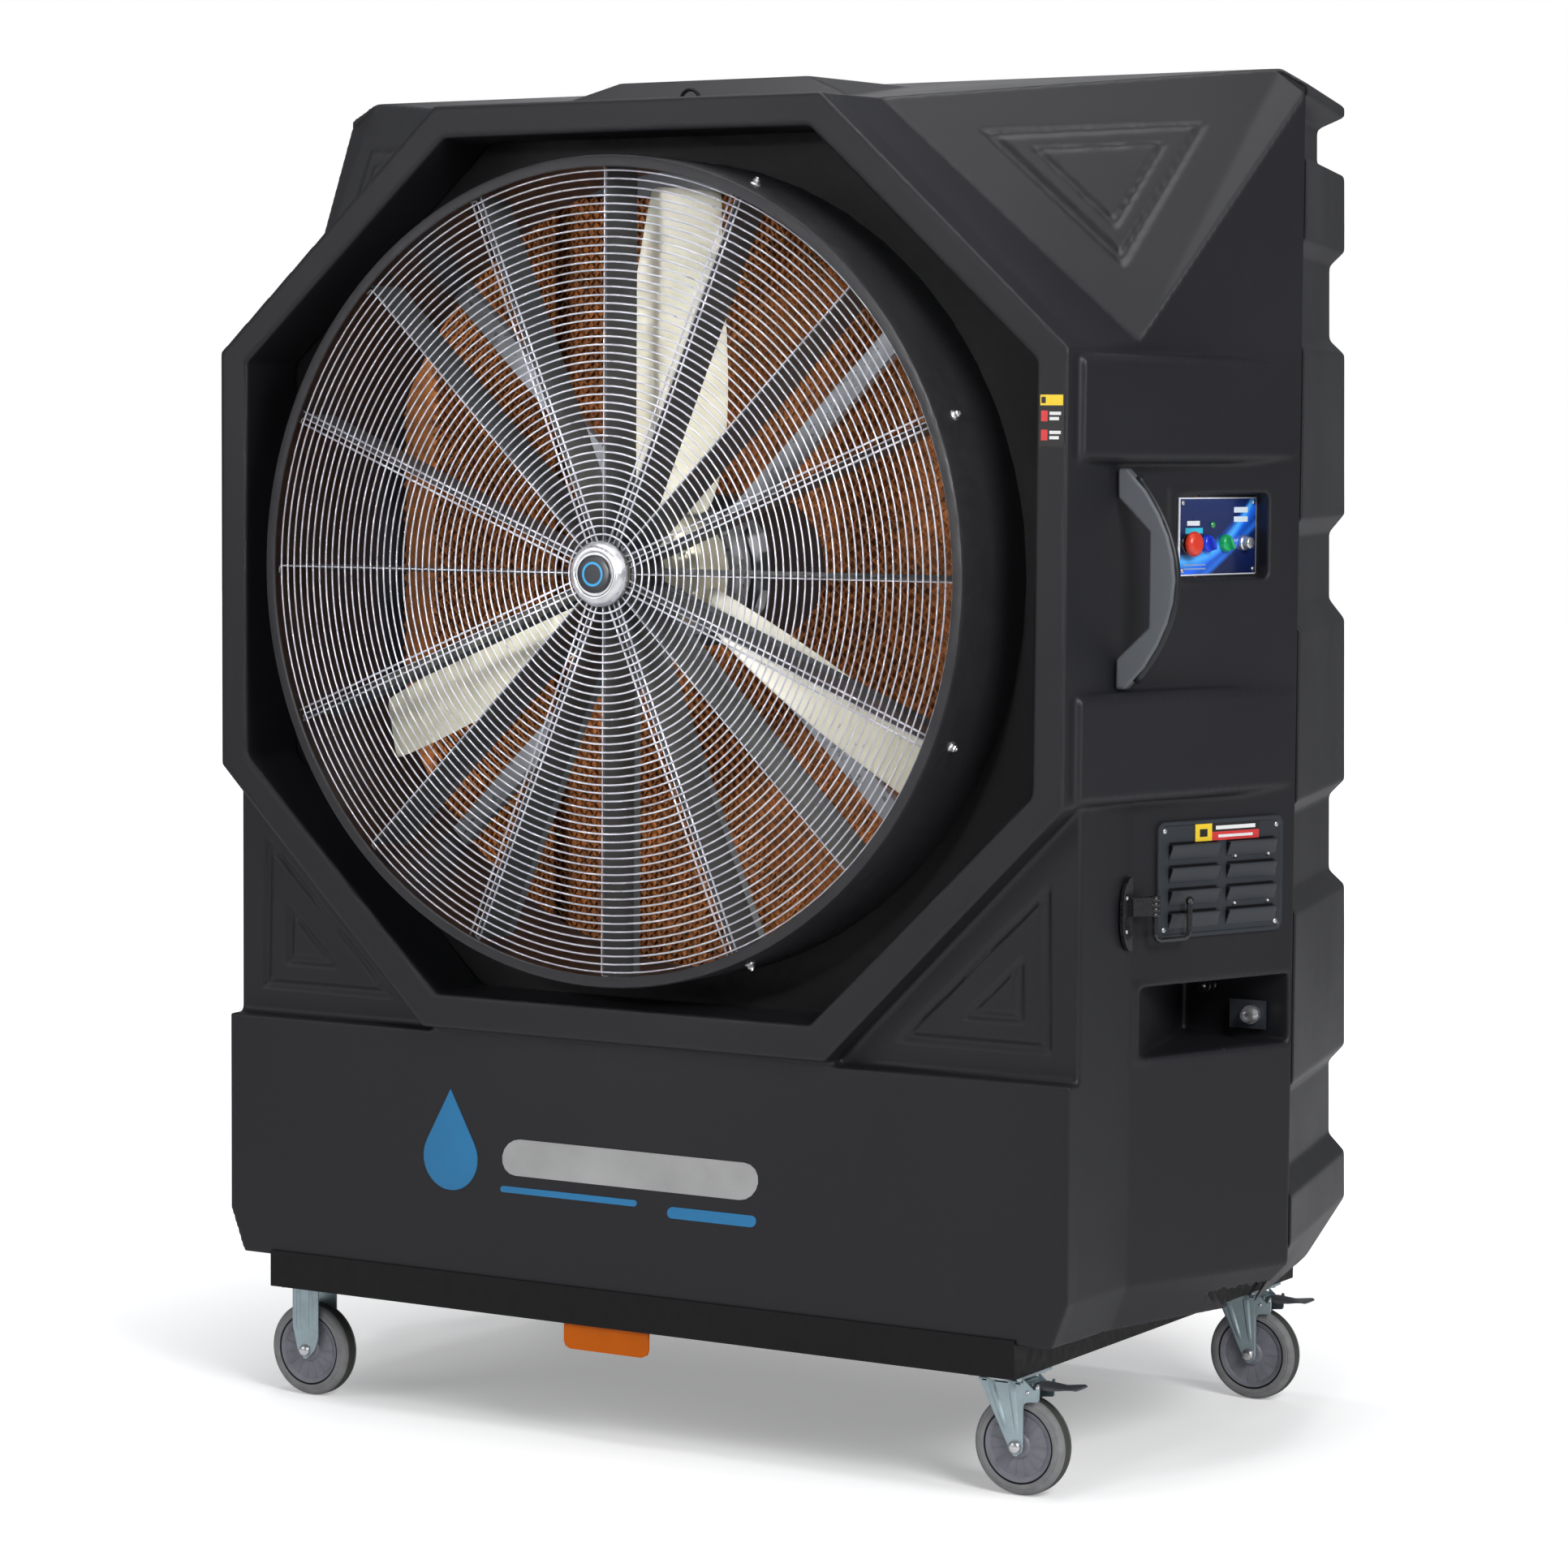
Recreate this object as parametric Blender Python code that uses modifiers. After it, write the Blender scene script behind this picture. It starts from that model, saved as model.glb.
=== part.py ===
"""A 48-inch portable evaporative cooler, built as an assembly of its separate pieces.

Metres, +Z up. The fan blows towards -Y, which is the front. Lengths along the machine are given
from the front face of the collar, and at() turns them into world places, so that the whole
machine's box is centred over the origin and stands on z = 0.
"""

import math

import bmesh
import bpy
from mathutils import Matrix, Vector

# Driving dimensions
GAP = 0.0004                      # clearance between pieces that touch
WALL = 0.010                      # moulded wall
FRONT_REACH = 0.074               # how far the guard's centre stands in front of the collar
REAR_REACH = 1.000                # how far the rear wall stands behind it
FACE_Y = (FRONT_REACH - REAR_REACH) / 2

FAN_Z = 1.361                     # fan axis
RING_RADIUS = 0.630
RING_LIP = 0.018
RING_FRONT, RING_REAR = -0.060, 0.235
GUARD_Y = -0.047
GUARD_RADIUS = 0.607
BLADE_Y = 0.140
BLADES = 3
BLADE_START = 86.0                # where the first blade points; 90 degrees is up
BLADE_SECTIONS = (                # radius, chord, shift of its middle, pitch, thickness
    (0.0869, 0.105, 0.000, 44.0, 0.020), (0.160, 0.148, 0.002, 41.0, 0.018),
    (0.300, 0.158, -0.004, 34.0, 0.014), (0.450, 0.138, -0.011, 26.0, 0.010),
    (0.590, 0.110, -0.009, 20.0, 0.006),
)
VANES = 16
SPOKES = 8

COLLAR_HALF = 0.766               # octagonal collar, half width and heights of its corners
COLLAR_Z = (0.638, 1.036, 1.699, 2.078)
COLLAR_TOP_HALF, COLLAR_BOTTOM_HALF = 0.348, 0.367
OPENING_HALF = 0.713
OPENING_Z = (0.693, 1.052, 1.682, 2.028)
OPENING_TOP_HALF, OPENING_BOTTOM_HALF = 0.328, 0.341
TUNNEL_DEPTH = 0.134

PANEL_Y = 0.055                   # recessed front panels beside the collar
TANK_FACE_Y = 0.026
LEDGE_Z = 0.630                   # ledge above the tank front
BODY_BOTTOM, CREASE_Z = 0.248, 0.308
SIDE_FRONT = (0.775, 0.205)       # plan place where the side begins to flare
SIDE_REAR = (0.893, 0.530)        # widest edge, where front and rear housings meet
ROOF_FRONT_Z, ROOF_REAR_Z = 2.078, 2.132
HUMP_Z = 2.125
REAR_WALL_Y = 1.000

REAR_HALF = (0.777, 0.745)        # half width at the rear wall: at the crease and at the roof
NOTCH, DEEP_NOTCH = 0.024, 0.044
RIDGE_LEVELS = (                  # height and inset of each edge of the ridged rear walls
    (BODY_BOTTOM, 0.060), (0.335, 0.0), (0.411, 0.0), (0.442, NOTCH), (0.561, NOTCH),
    (0.586, 0.0), (0.849, 0.0), (0.874, NOTCH), (0.996, NOTCH),
    (1.020, 0.0), (1.282, 0.0), (1.314, NOTCH), (1.422, NOTCH),
    (1.451, 0.0), (1.709, 0.0), (1.732, NOTCH), (1.850, NOTCH),
    (1.874, 0.0), (1.995, 0.0), (2.012, DEEP_NOTCH), (2.068, DEEP_NOTCH),
    (2.090, 0.0), (2.106, 0.0), (ROOF_REAR_Z, 0.047),
)
WINDOW_HALF, WINDOW_Z = 0.660, (0.660, 1.960)
PAD_Z = (0.640, 1.985)
PAD_THICKNESS = 0.090
PAD_FRONT = 0.592

RECESS_Z = (1.362, 1.489)         # control recess: heights, and plan of its front, rear and deepest edges
RECESS_PLAN = ((0.8023, 0.278), (0.869, 0.463), (0.836, 0.488))
POCKET_Z = (0.651, 0.756)         # inlet pocket, given the same way
POCKET_PLAN = ((0.781, 0.222), (0.889, 0.520), (0.694, 0.549))
PLATE_OUT = 0.0035                # face of the control plate above the recess floor
CONTROL_Z = 1.415
HOOK_AXIS = (0.806, 0.220)
FLOAT_PIVOT = (-0.560, 0.400, 0.470)

FRAME_HALF = 0.684                # steel base frame
FRAME_FRONT, FRAME_REAR = 0.022, 1.000
FRAME_BOTTOM = 0.189
FRAME_TUBE = 0.050

WHEEL_RADIUS, WHEEL_WIDTH = 0.076, 0.038
RIGID_X, SWIVEL_X, TRAIL = -0.657, 0.629, 0.028
CASTER_Y = (0.105, 0.915)

PARTS = "evaporative_cooler"
CUTTERS = "cutters"


def at(x, y, z):
    """World place of a point given from the collar's front face."""
    return Vector((x, FACE_Y + y, z))


def collection(name, hidden=False):
    found = bpy.data.collections.new(name)
    bpy.context.scene.collection.children.link(found)
    found.hide_render = hidden
    return found


def material(name, colour, roughness=0.5, metallic=0.0):
    found = bpy.data.materials.get(name)
    if found:
        return found
    made = bpy.data.materials.new(name)
    made.use_nodes = True
    shader = made.node_tree.nodes["Principled BSDF"]
    shader.inputs["Base Color"].default_value = (*colour, 1.0)
    shader.inputs["Roughness"].default_value = roughness
    shader.inputs["Metallic"].default_value = metallic
    made.diffuse_color = (*colour, 1.0)
    return made


def housing_plastic():
    return material("housing_plastic", (0.030, 0.030, 0.034), 0.55)


def trim_plastic():
    return material("trim_plastic", (0.055, 0.062, 0.070), 0.45)


def black_steel():
    return material("black_steel", (0.012, 0.012, 0.013), 0.4)


def zinc_steel():
    return material("zinc_steel", (0.55, 0.62, 0.66), 0.35, 0.9)


def add(bm, name, made_of, collection_name=PARTS):
    """Turns a bmesh into a named object with flat faces that point out."""
    bmesh.ops.recalc_face_normals(bm, faces=bm.faces)
    bent = [face for face in bm.faces if not is_flat(face)]
    bmesh.ops.triangulate(bm, faces=bent)
    mesh = bpy.data.meshes.new(name)
    bm.to_mesh(mesh)
    bm.free()
    obj = bpy.data.objects.new(name, mesh)
    bpy.data.collections[collection_name].objects.link(obj)
    if made_of:
        mesh.materials.append(made_of)
    if collection_name == CUTTERS:
        obj.hide_render = True
        obj.display_type = "WIRE"
    return obj


def is_flat(face):
    first = face.verts[0].co
    return all(abs((vert.co - first).dot(face.normal)) < 0.000001 for vert in face.verts)


def loft_mesh(loops, cap_start=True, cap_end=True, closed=True):
    """Skin over loops of points that have the same count."""
    bm = bmesh.new()
    rows = [[bm.verts.new(point) for point in loop] for loop in loops]
    count = len(rows[0])
    for low, high in zip(rows, rows[1:]):
        for i in range(count if closed else count - 1):
            j = (i + 1) % count
            bm.faces.new((low[i], low[j], high[j], high[i]))
    if cap_start:
        bm.faces.new(reversed(rows[0]))
    if cap_end:
        bm.faces.new(rows[-1])
    return bm


def loft(name, loops, made_of=None, collection_name=PARTS):
    return add(loft_mesh(loops), name, made_of, collection_name)


def prism(name, outline, y0, y1, made_of=None, collection_name=PARTS):
    """An (x, z) outline extruded along Y."""
    loops = [[at(x, y, z) for x, z in outline] for y in (y0, y1)]
    return loft(name, loops, made_of, collection_name)


def column(name, plan, z0, z1, made_of=None, collection_name=PARTS):
    """An (x, y) plan extruded along Z."""
    loops = [[at(x, y, z) for x, y in plan] for z in (z0, z1)]
    return loft(name, loops, made_of, collection_name)


def box_mesh(lo, hi):
    lo, hi = Vector(lo), Vector(hi)
    bm = bmesh.new()
    size = Matrix.Diagonal((*(hi - lo), 1.0))
    bmesh.ops.create_cube(bm, size=1.0, matrix=Matrix.Translation((lo + hi) / 2) @ size)
    return bm


def box(name, lo, hi, made_of=None, collection_name=PARTS):
    """A box between two corners given from the collar's face."""
    return add(box_mesh(at(*lo), at(*hi)), name, made_of, collection_name)


def cylinder_mesh(centre, direction, radius, length, segments, radius_end=None):
    bm = bmesh.new()
    turn = Vector(direction).to_track_quat("Z", "Y").to_matrix().to_4x4()
    bmesh.ops.create_cone(
        bm, cap_ends=True, segments=segments, radius1=radius,
        radius2=radius if radius_end is None else radius_end, depth=length,
        matrix=Matrix.Translation(centre) @ turn,
    )
    return bm


def cylinder(name, centre, direction, radius, length, made_of=None, segments=20,
             collection_name=PARTS, radius_end=None):
    bm = cylinder_mesh(Vector(centre), direction, radius, length, segments, radius_end)
    return add(bm, name, made_of, collection_name)


def turned(name, profile, centre, direction, made_of=None, steps=32, ring=False,
           collection_name=PARTS):
    """A profile of (radius, height) turned about `direction` through `centre`.

    The profile runs down its outer side, from top to bottom. A ring's profile closes on itself.
    """
    mesh = bpy.data.meshes.new(name)
    points = [(radius, 0.0, height) for radius, height in profile]
    edges = [(i, i + 1) for i in range(len(points) - 1)]
    if ring:
        edges.append((len(points) - 1, 0))
    mesh.from_pydata(points, edges, [])
    obj = bpy.data.objects.new(name, mesh)
    bpy.data.collections[collection_name].objects.link(obj)
    if made_of:
        mesh.materials.append(made_of)
    obj.location = centre
    obj.rotation_mode = "QUATERNION"
    obj.rotation_quaternion = Vector(direction).to_track_quat("Z", "Y")
    screw = obj.modifiers.new("turn", "SCREW")
    screw.axis = "Z"
    screw.steps = screw.render_steps = steps
    screw.use_merge_vertices = True
    screw.merge_threshold = 0.00001
    screw.use_smooth_shade = True
    if collection_name == CUTTERS:
        obj.hide_render = True
        obj.display_type = "WIRE"
    return obj


def tube(name, points, radius, made_of=None, collection_name=PARTS, resolution=2):
    """A bent rod along points, as a closed mesh."""
    curve = bpy.data.curves.new(name, "CURVE")
    curve.dimensions = "3D"
    curve.bevel_depth = radius
    curve.bevel_resolution = resolution
    curve.use_fill_caps = True
    spline = curve.splines.new("POLY")
    spline.points.add(len(points) - 1)
    for place, point in zip(spline.points, points):
        place.co = (*point, 1.0)
    guide = bpy.data.objects.new(name + "_guide", curve)
    bpy.context.scene.collection.objects.link(guide)
    graph = bpy.context.evaluated_depsgraph_get()
    mesh = bpy.data.meshes.new_from_object(guide.evaluated_get(graph))
    bpy.data.objects.remove(guide)
    bm = bmesh.new()
    bm.from_mesh(mesh)
    bmesh.ops.remove_doubles(bm, verts=bm.verts, dist=0.00001)
    return add(bm, name, made_of, collection_name)


def boolean(target, tool, operation):
    made = target.modifiers.new(tool.name, "BOOLEAN")
    made.operation = operation
    made.object = tool


def cut(target, *tools):
    for tool in tools:
        boolean(target, tool, "DIFFERENCE")


def join(target, *tools):
    for tool in tools:
        boolean(target, tool, "UNION")


def both_sides(points):
    """A right half of an (x, z) outline, low to high, and its mirror image."""
    return [*points, *[(-x, z) for x, z in reversed(points)]]


def set_origin(obj, place):
    """Moves an object's origin to its joint's axis and leaves its shape where it is."""
    place = Vector(place)
    obj.data.transform(Matrix.Translation(-place))
    obj.location = place


def polar(radius, degrees, y):
    """A point on a circle about the fan axis; 0 is +X and 90 is up."""
    turn = math.radians(degrees)
    return at(radius * math.cos(turn), y, FAN_Z + radius * math.sin(turn))


def side_point(along, out, z):
    """A point on the flared right side: `along` from 0 at its front edge to 1 at the widest edge."""
    front, rear = Vector(SIDE_FRONT), Vector(SIDE_REAR)
    run = rear - front
    normal = Vector((run.y, -run.x)).normalized()
    place = front + run * along + normal * out
    return at(place.x, place.y, z)


def side_normal():
    run = Vector(SIDE_REAR) - Vector(SIDE_FRONT)
    return Vector((run.y, -run.x, 0.0)).normalized()


# Housing

def collar_outline():
    bottom, low, high, top = COLLAR_Z
    return both_sides([(COLLAR_BOTTOM_HALF, bottom), (COLLAR_HALF, low),
                       (COLLAR_HALF, high), (COLLAR_TOP_HALF, top)])


def opening_outline(grow=0.0):
    bottom, low, high, top = OPENING_Z
    slant = grow * 0.42
    return both_sides([(OPENING_BOTTOM_HALF + slant, bottom - grow), (OPENING_HALF + grow, low - slant),
                       (OPENING_HALF + grow, high + slant), (OPENING_TOP_HALF + slant, top + grow)])


def body_loops():
    """Loops of the front housing from the front panels to the widest edge."""
    side_x, side_y = SIDE_FRONT
    wide_x, wide_y = SIDE_REAR
    halves = (
        [(0.742, PANEL_Y, BODY_BOTTOM), (0.768, PANEL_Y, CREASE_Z),
         (COLLAR_HALF, PANEL_Y, COLLAR_Z[2]), (COLLAR_TOP_HALF, PANEL_Y, ROOF_FRONT_Z)],
        [(side_x - 0.026, side_y, BODY_BOTTOM), (side_x, side_y, CREASE_Z),
         (side_x, side_y, 1.711), (0.366, 0.150, ROOF_FRONT_Z)],
        [(wide_x - 0.055, wide_y, BODY_BOTTOM), (wide_x, wide_y, CREASE_Z),
         (wide_x, wide_y, 2.098), (0.846, wide_y, ROOF_REAR_Z)],
    )
    return [[at(*p) for p in half] + [at(-x, y, z) for x, y, z in reversed(half)] for half in halves]


def cavity_loops():
    """The space inside the front housing: its loops drawn in by the wall, open below and behind."""
    inside = []
    for loop, back in zip(body_loops(), (WALL, WALL * 0.7, 0.0)):
        shrunk = []
        for place, (dx, dz) in zip(loop, ((-1, -2), (-1, 0), (-1, -0.35), (-0.35, -1),
                                          (0.35, -1), (1, -0.35), (1, 0), (1, -2))):
            shrunk.append(place + Vector((dx * WALL, back, dz * WALL)))
        inside.append(shrunk)
    beyond = [place + (place - near) * 0.05 for near, place in zip(inside[1], inside[2])]
    return [*inside, beyond]


def groove_cutter(name, corners, normal, width, depth):
    """A V-shaped groove that runs round a triangle, for cutting into a flat face."""
    normal = Vector(normal).normalized()
    corners = [Vector(c) for c in corners]
    centre = sum(corners, Vector()) / 3
    inradius = min(
        (centre - a).cross((b - a).normalized()).length
        for a, b in zip(corners, corners[1:] + corners[:1])
    )
    lift = 0.002

    def inset(distance, height):
        share = 1.0 - distance / inradius
        return [centre + (c - centre) * share + normal * height for c in corners]

    rows = (inset(0.0, lift), inset(width / 2, -depth), inset(width, lift))
    bm = bmesh.new()
    verts = [[bm.verts.new(point) for point in row] for row in rows]
    for first, second in zip(verts, verts[1:] + verts[:1]):
        for i in range(3):
            j = (i + 1) % 3
            bm.faces.new((first[i], first[j], second[j], second[i]))
    return add(bm, name, None, CUTTERS)


def facet_triangle(scale):
    """Corners of a triangle on the upper right facet, shrunk about the facet's middle."""
    loops = body_loops()
    low, inner, outer = loops[1][2], loops[1][3], (loops[2][2] + loops[2][3]) / 2
    centre = (low + inner + outer) / 3
    return [centre + (corner - centre) * scale for corner in (low, inner, outer)]


def mirrored(points):
    return [Vector((-p.x, p.y, p.z)) for p in points]


def add_grooves(housing):
    facet = facet_triangle(1.0)
    normal = (facet[1] - facet[0]).cross(facet[2] - facet[0]).normalized()
    if normal.y > 0:
        normal = -normal
    left_normal = Vector((-normal.x, normal.y, normal.z))
    for number, (scale, width) in enumerate(((0.60, 0.026), (0.36, 0.016))):
        corners = facet_triangle(scale)
        cut(housing, groove_cutter(f"facet_groove_right_{number}", corners, normal, width, 0.007))
        cut(housing, groove_cutter(f"facet_groove_left_{number}", mirrored(corners), left_normal,
                                   width, 0.007))
    panels = (((0.450, 0.668), (0.727, 0.668), (0.722, 0.931)),
              ((0.560, 0.709), (0.681, 0.709), (0.679, 0.824)))
    for number, outline in enumerate(panels):
        corners = [at(x, PANEL_Y, z) for x, z in outline]
        for side, points in (("right", corners), ("left", mirrored(corners))):
            cut(housing, groove_cutter(f"panel_groove_{side}_{number}", points, (0, -1, 0), 0.016, 0.006))


def side_block(name, low, high, sign):
    """A raised block that fills the hollow corner of the side between two heights."""
    plan = [(0.760, 0.034), (0.777, 0.034), (0.889, 0.515), (0.870, 0.515), (0.768, 0.208)]
    slope = 0.010
    loops = []
    for z, shrink in ((low, 0.0), (low + slope, 1.0), (high - slope, 1.0), (high, 0.0)):
        outer = [(x - (1.0 - shrink) * slope, y) for x, y in plan[1:3]]
        loops.append([at(sign * x, y, z) for x, y in (plan[0], *outer, *plan[3:])])
    return loft(name, loops, None, CUTTERS)


def pocket(housing, name, plan, heights):
    """A wedge-shaped pocket in the right side, with its own moulded liner."""
    front, rear, deep = (Vector(p) for p in plan)
    outward = side_normal().xy
    low, high = heights
    skin = 0.006
    liner = (front - outward * 0.002 + Vector((0, -skin * 2)), rear - outward * 0.002 + Vector((0, skin)),
             deep + Vector((0, skin * 1.5)) - outward * skin * 0.5, deep - outward * skin * 1.6)
    join(housing, column(name + "_liner", [tuple(p) for p in liner], low - skin, high + skin, None, CUTTERS))
    reach = 0.030
    void = (front, front + outward * reach, rear + outward * reach, rear, deep)
    cut(housing, column(name + "_void", [tuple(p) for p in void], low, high, None, CUTTERS))


def roof_height(y):
    rear_y = SIDE_REAR[1]
    share = (y - 0.150) / (rear_y - 0.150)
    return ROOF_FRONT_Z + (ROOF_REAR_Z - ROOF_FRONT_Z) * share


def main_housing():
    """Front moulding: recessed panels, octagonal collar, tank front, flared sides and roof."""
    housing = loft("main_housing", body_loops(), housing_plastic())
    cut(housing, loft("main_cavity", cavity_loops(), None, CUTTERS))
    tank_front = both_sides([(0.742, BODY_BOTTOM), (0.768, CREASE_Z), (0.768, LEDGE_Z)])
    front = prism("tank_front", tank_front, TANK_FACE_Y, PANEL_Y + WALL / 2, None, CUTTERS)
    collar = prism("collar", collar_outline(), 0.0, PANEL_Y + WALL / 2, None, CUTTERS)
    tunnel = prism("tunnel", opening_outline(0.010), PANEL_Y - 0.02, TUNNEL_DEPTH, None, CUTTERS)
    opening = prism("opening", opening_outline(), -0.05, TUNNEL_DEPTH + 0.05, None, CUTTERS)
    join(housing, front, collar, tunnel)
    cut(housing, opening)
    for side, sign in (("right", 1), ("left", -1)):
        for place, low, high in (("upper", 1.536, 1.692), ("lower", 1.037, 1.200)):
            join(housing, side_block(f"block_{place}_{side}", low, high, sign))
    hump = []
    for base_y, top_y in ((0.212, 0.262), (0.430, 0.420)):
        hump.append([at(x, base_y, roof_height(base_y) - 0.005) for x in (-0.290, 0.290)]
                    + [at(x, top_y, HUMP_Z) for x in (0.172, -0.172)])
    join(housing, loft("roof_hump", hump, None, CUTTERS))
    pocket(housing, "control_recess", RECESS_PLAN, RECESS_Z)
    pocket(housing, "inlet_pocket", POCKET_PLAN, POCKET_Z)
    add_grooves(housing)
    return housing


def rear_plan(z, inset, front=SIDE_REAR[1] + GAP):
    """Plan of the rear walls at one height, drawn in by an inset."""
    share = (z - CREASE_Z) / (ROOF_FRONT_Z - CREASE_Z)
    half = REAR_HALF[0] + (REAR_HALF[1] - REAR_HALF[0]) * share
    wide = SIDE_REAR[0] - inset
    taper = (SIDE_REAR[0] - half) / (REAR_WALL_Y - SIDE_REAR[1])
    back = REAR_WALL_Y - inset
    narrow = half - inset * 0.95 + inset * taper
    corner = 0.012
    right = [(wide + taper * (SIDE_REAR[1] + GAP - front), front),
             (narrow + taper * corner, back - corner), (narrow - corner, back)]
    return [at(x, y, z) for x, y in right] + [at(-x, y, z) for x, y in reversed(right)]


def rear_housing():
    """Rear moulding: ridged, tapered sides, an overhanging eave, and a window for the pad."""
    housing = loft("rear_housing", [rear_plan(z, inset) for z, inset in RIDGE_LEVELS], housing_plastic())
    levels = list(RIDGE_LEVELS)
    levels[0] = (levels[0][0] - WALL, levels[0][1])
    levels[-1] = (levels[-1][0] - WALL, levels[-1][1])
    levels[-2] = (levels[-2][0] - WALL * 0.4, levels[-2][1])
    inside = [rear_plan(z, inset + WALL, SIDE_REAR[1] - 0.02) for z, inset in levels]
    cut(housing, loft("rear_cavity", inside, None, CUTTERS))
    low, high = WINDOW_Z
    cut(housing, box("pad_window", (-WINDOW_HALF, 0.900, low), (WINDOW_HALF, 1.100, high), None, CUTTERS))
    return housing


def rear_grille():
    """Moulded louvre frame behind the window, with upright ribs and cross bars."""
    half, low, high = WINDOW_HALF + 0.030, WINDOW_Z[0] - 0.015, WINDOW_Z[1] + 0.020
    grille = box("rear_grille", (-half, 0.9545, low), (half, 0.9650, high), trim_plastic())
    columns, rows = 4, 6
    rib, rim = 0.026, 0.046
    wide = (2 * (half - rim) - rib * (columns - 1)) / columns
    tall = (high - low - 2 * rim - rib * (rows - 1)) / rows
    holes = bmesh.new()
    for c in range(columns):
        for r in range(rows):
            x = -half + rim + c * (wide + rib)
            z = low + rim + r * (tall + rib)
            size = Matrix.Diagonal((wide, 0.06, tall, 1.0))
            place = Matrix.Translation(at(x + wide / 2, 0.960, z + tall / 2))
            bmesh.ops.create_cube(holes, size=1.0, matrix=place @ size)
    cut(grille, add(holes, "grille_holes", None, CUTTERS))
    return grille


def water_tank():
    """Sump that fills the bottom of the body."""
    low, high = BODY_BOTTOM + GAP, 0.560
    tank = box("water_tank", (-0.700, 0.095, low), (0.700, 0.925, high), trim_plastic())
    wall = 0.009
    basin = box("tank_basin", (-0.700 + wall, 0.095 + wall, low + wall),
                (0.700 - wall, 0.925 - wall, high + 0.05), None, CUTTERS)
    drain = cylinder("tank_drain", at(0.300, 0.700, low), (0, 0, 1), 0.014, 0.1, None, 20, CUTTERS)
    cut(tank, basin, drain)
    return tank


def drain_plug():
    """Threaded plug under the tank's floor."""
    return turned("drain_plug", [(0.0, 0.012), (0.0125, 0.012), (0.0125, 0.0), (0.024, 0.0), (0.024, -0.016),
                                 (0.020, -0.020), (0.0, -0.020)],
                  at(0.300, 0.700, BODY_BOTTOM), (0, 0, 1), trim_plastic(), 24)


def base_frame():
    """Welded steel frame: a rectangle of square tube with two cross members."""
    low, high = FRAME_BOTTOM, BODY_BOTTOM - GAP
    frame = box("base_frame", (-FRAME_HALF, FRAME_FRONT, low), (FRAME_HALF, FRAME_REAR, high), black_steel())
    holes = bmesh.new()
    bays = 3
    span = (2 * FRAME_HALF - FRAME_TUBE * (bays + 1)) / bays
    depth = FRAME_REAR - FRAME_FRONT - 2 * FRAME_TUBE
    for i in range(bays):
        x = -FRAME_HALF + FRAME_TUBE + i * (span + FRAME_TUBE) + span / 2
        place = Matrix.Translation(at(x, (FRAME_FRONT + FRAME_REAR) / 2, (low + high) / 2))
        bmesh.ops.create_cube(holes, size=1.0, matrix=place @ Matrix.Diagonal((span, depth, 0.2, 1.0)))
    cut(frame, add(holes, "frame_bays", None, CUTTERS))
    pads = bmesh.new()
    for x in (RIGID_X, SWIVEL_X):
        for y in CASTER_Y:
            place = Matrix.Translation(at(x * 0.98, y, low + 0.004))
            bmesh.ops.create_cube(pads, size=1.0, matrix=place @ Matrix.Diagonal((0.090, 0.120, 0.008, 1.0)))
    join(frame, add(pads, "caster_pads", None, CUTTERS))
    return frame


def front_tab():
    """Orange tab that hangs below the front rail."""
    middle, half, low, high, cut_corner = -0.036, 0.078, 0.149, FRAME_BOTTOM - GAP, 0.012
    outline = both_sides([(half - cut_corner, low), (half - 0.003, low + 0.004), (half, low + cut_corner),
                          (half, high)])
    outline = [(middle + x, z) for x, z in outline]
    return prism("front_tab", outline, FRAME_FRONT + 0.004, FRAME_FRONT + 0.009,
                 material("orange_paint", (0.48, 0.11, 0.003), 0.4))


# Fan

def fan_bulkhead():
    """Flat octagonal wall behind the collar that carries the fan ring."""
    plate = prism("fan_bulkhead", opening_outline(0.010), TUNNEL_DEPTH + GAP, TUNNEL_DEPTH + 0.006,
                  black_steel())
    hole = cylinder("ring_hole", at(0, TUNNEL_DEPTH, FAN_Z), (0, 1, 0), RING_RADIUS + GAP * 2, 0.2,
                    None, 48, CUTTERS)
    cut(plate, hole)
    return plate


def fan_ring():
    """Rolled steel shroud with a turned-in front lip."""
    depth = RING_REAR - RING_FRONT
    outer, inner, lip = RING_RADIUS, RING_RADIUS - 0.006, RING_RADIUS - RING_LIP
    profile = [(lip, 0.0), (outer - 0.003, 0.0), (outer, 0.003), (outer, depth), (inner, depth),
               (inner, 0.007), (lip, 0.007)]
    ring = turned("fan_ring", profile, at(0, RING_FRONT, FAN_Z), (0, 1, 0),
                  material("ring_steel", (0.045, 0.047, 0.050), 0.4), 48, ring=True)
    ring.modifiers["turn"].use_normal_flip = True
    return ring


def ring_of_wire(bm, radius, y, section, segments):
    """A closed ring of square wire about the fan axis."""
    rows = []
    for i in range(segments):
        degrees = 360.0 * i / segments
        rows.append([bm.verts.new(polar(radius + r, degrees, y + d))
                     for r, d in ((-section, -section), (section, -section), (section, section),
                                  (-section, section))])
    for row, after in zip(rows, rows[1:] + rows[:1]):
        for k in range(4):
            bm.faces.new((row[k], row[(k + 1) % 4], after[(k + 1) % 4], after[k]))


def radial_bar(bm, degrees, r0, r1, y0, y1, width):
    """A straight bar along a radius of the fan."""
    turn = Matrix.Rotation(-math.radians(degrees), 4, "Y")
    size = Matrix.Diagonal((r1 - r0, y1 - y0, width, 1.0))
    middle = Matrix.Translation(((r0 + r1) / 2, (y0 + y1) / 2, 0.0))
    bmesh.ops.create_cube(bm, size=1.0, matrix=Matrix.Translation(at(0, 0, FAN_Z)) @ turn @ middle @ size)


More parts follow.
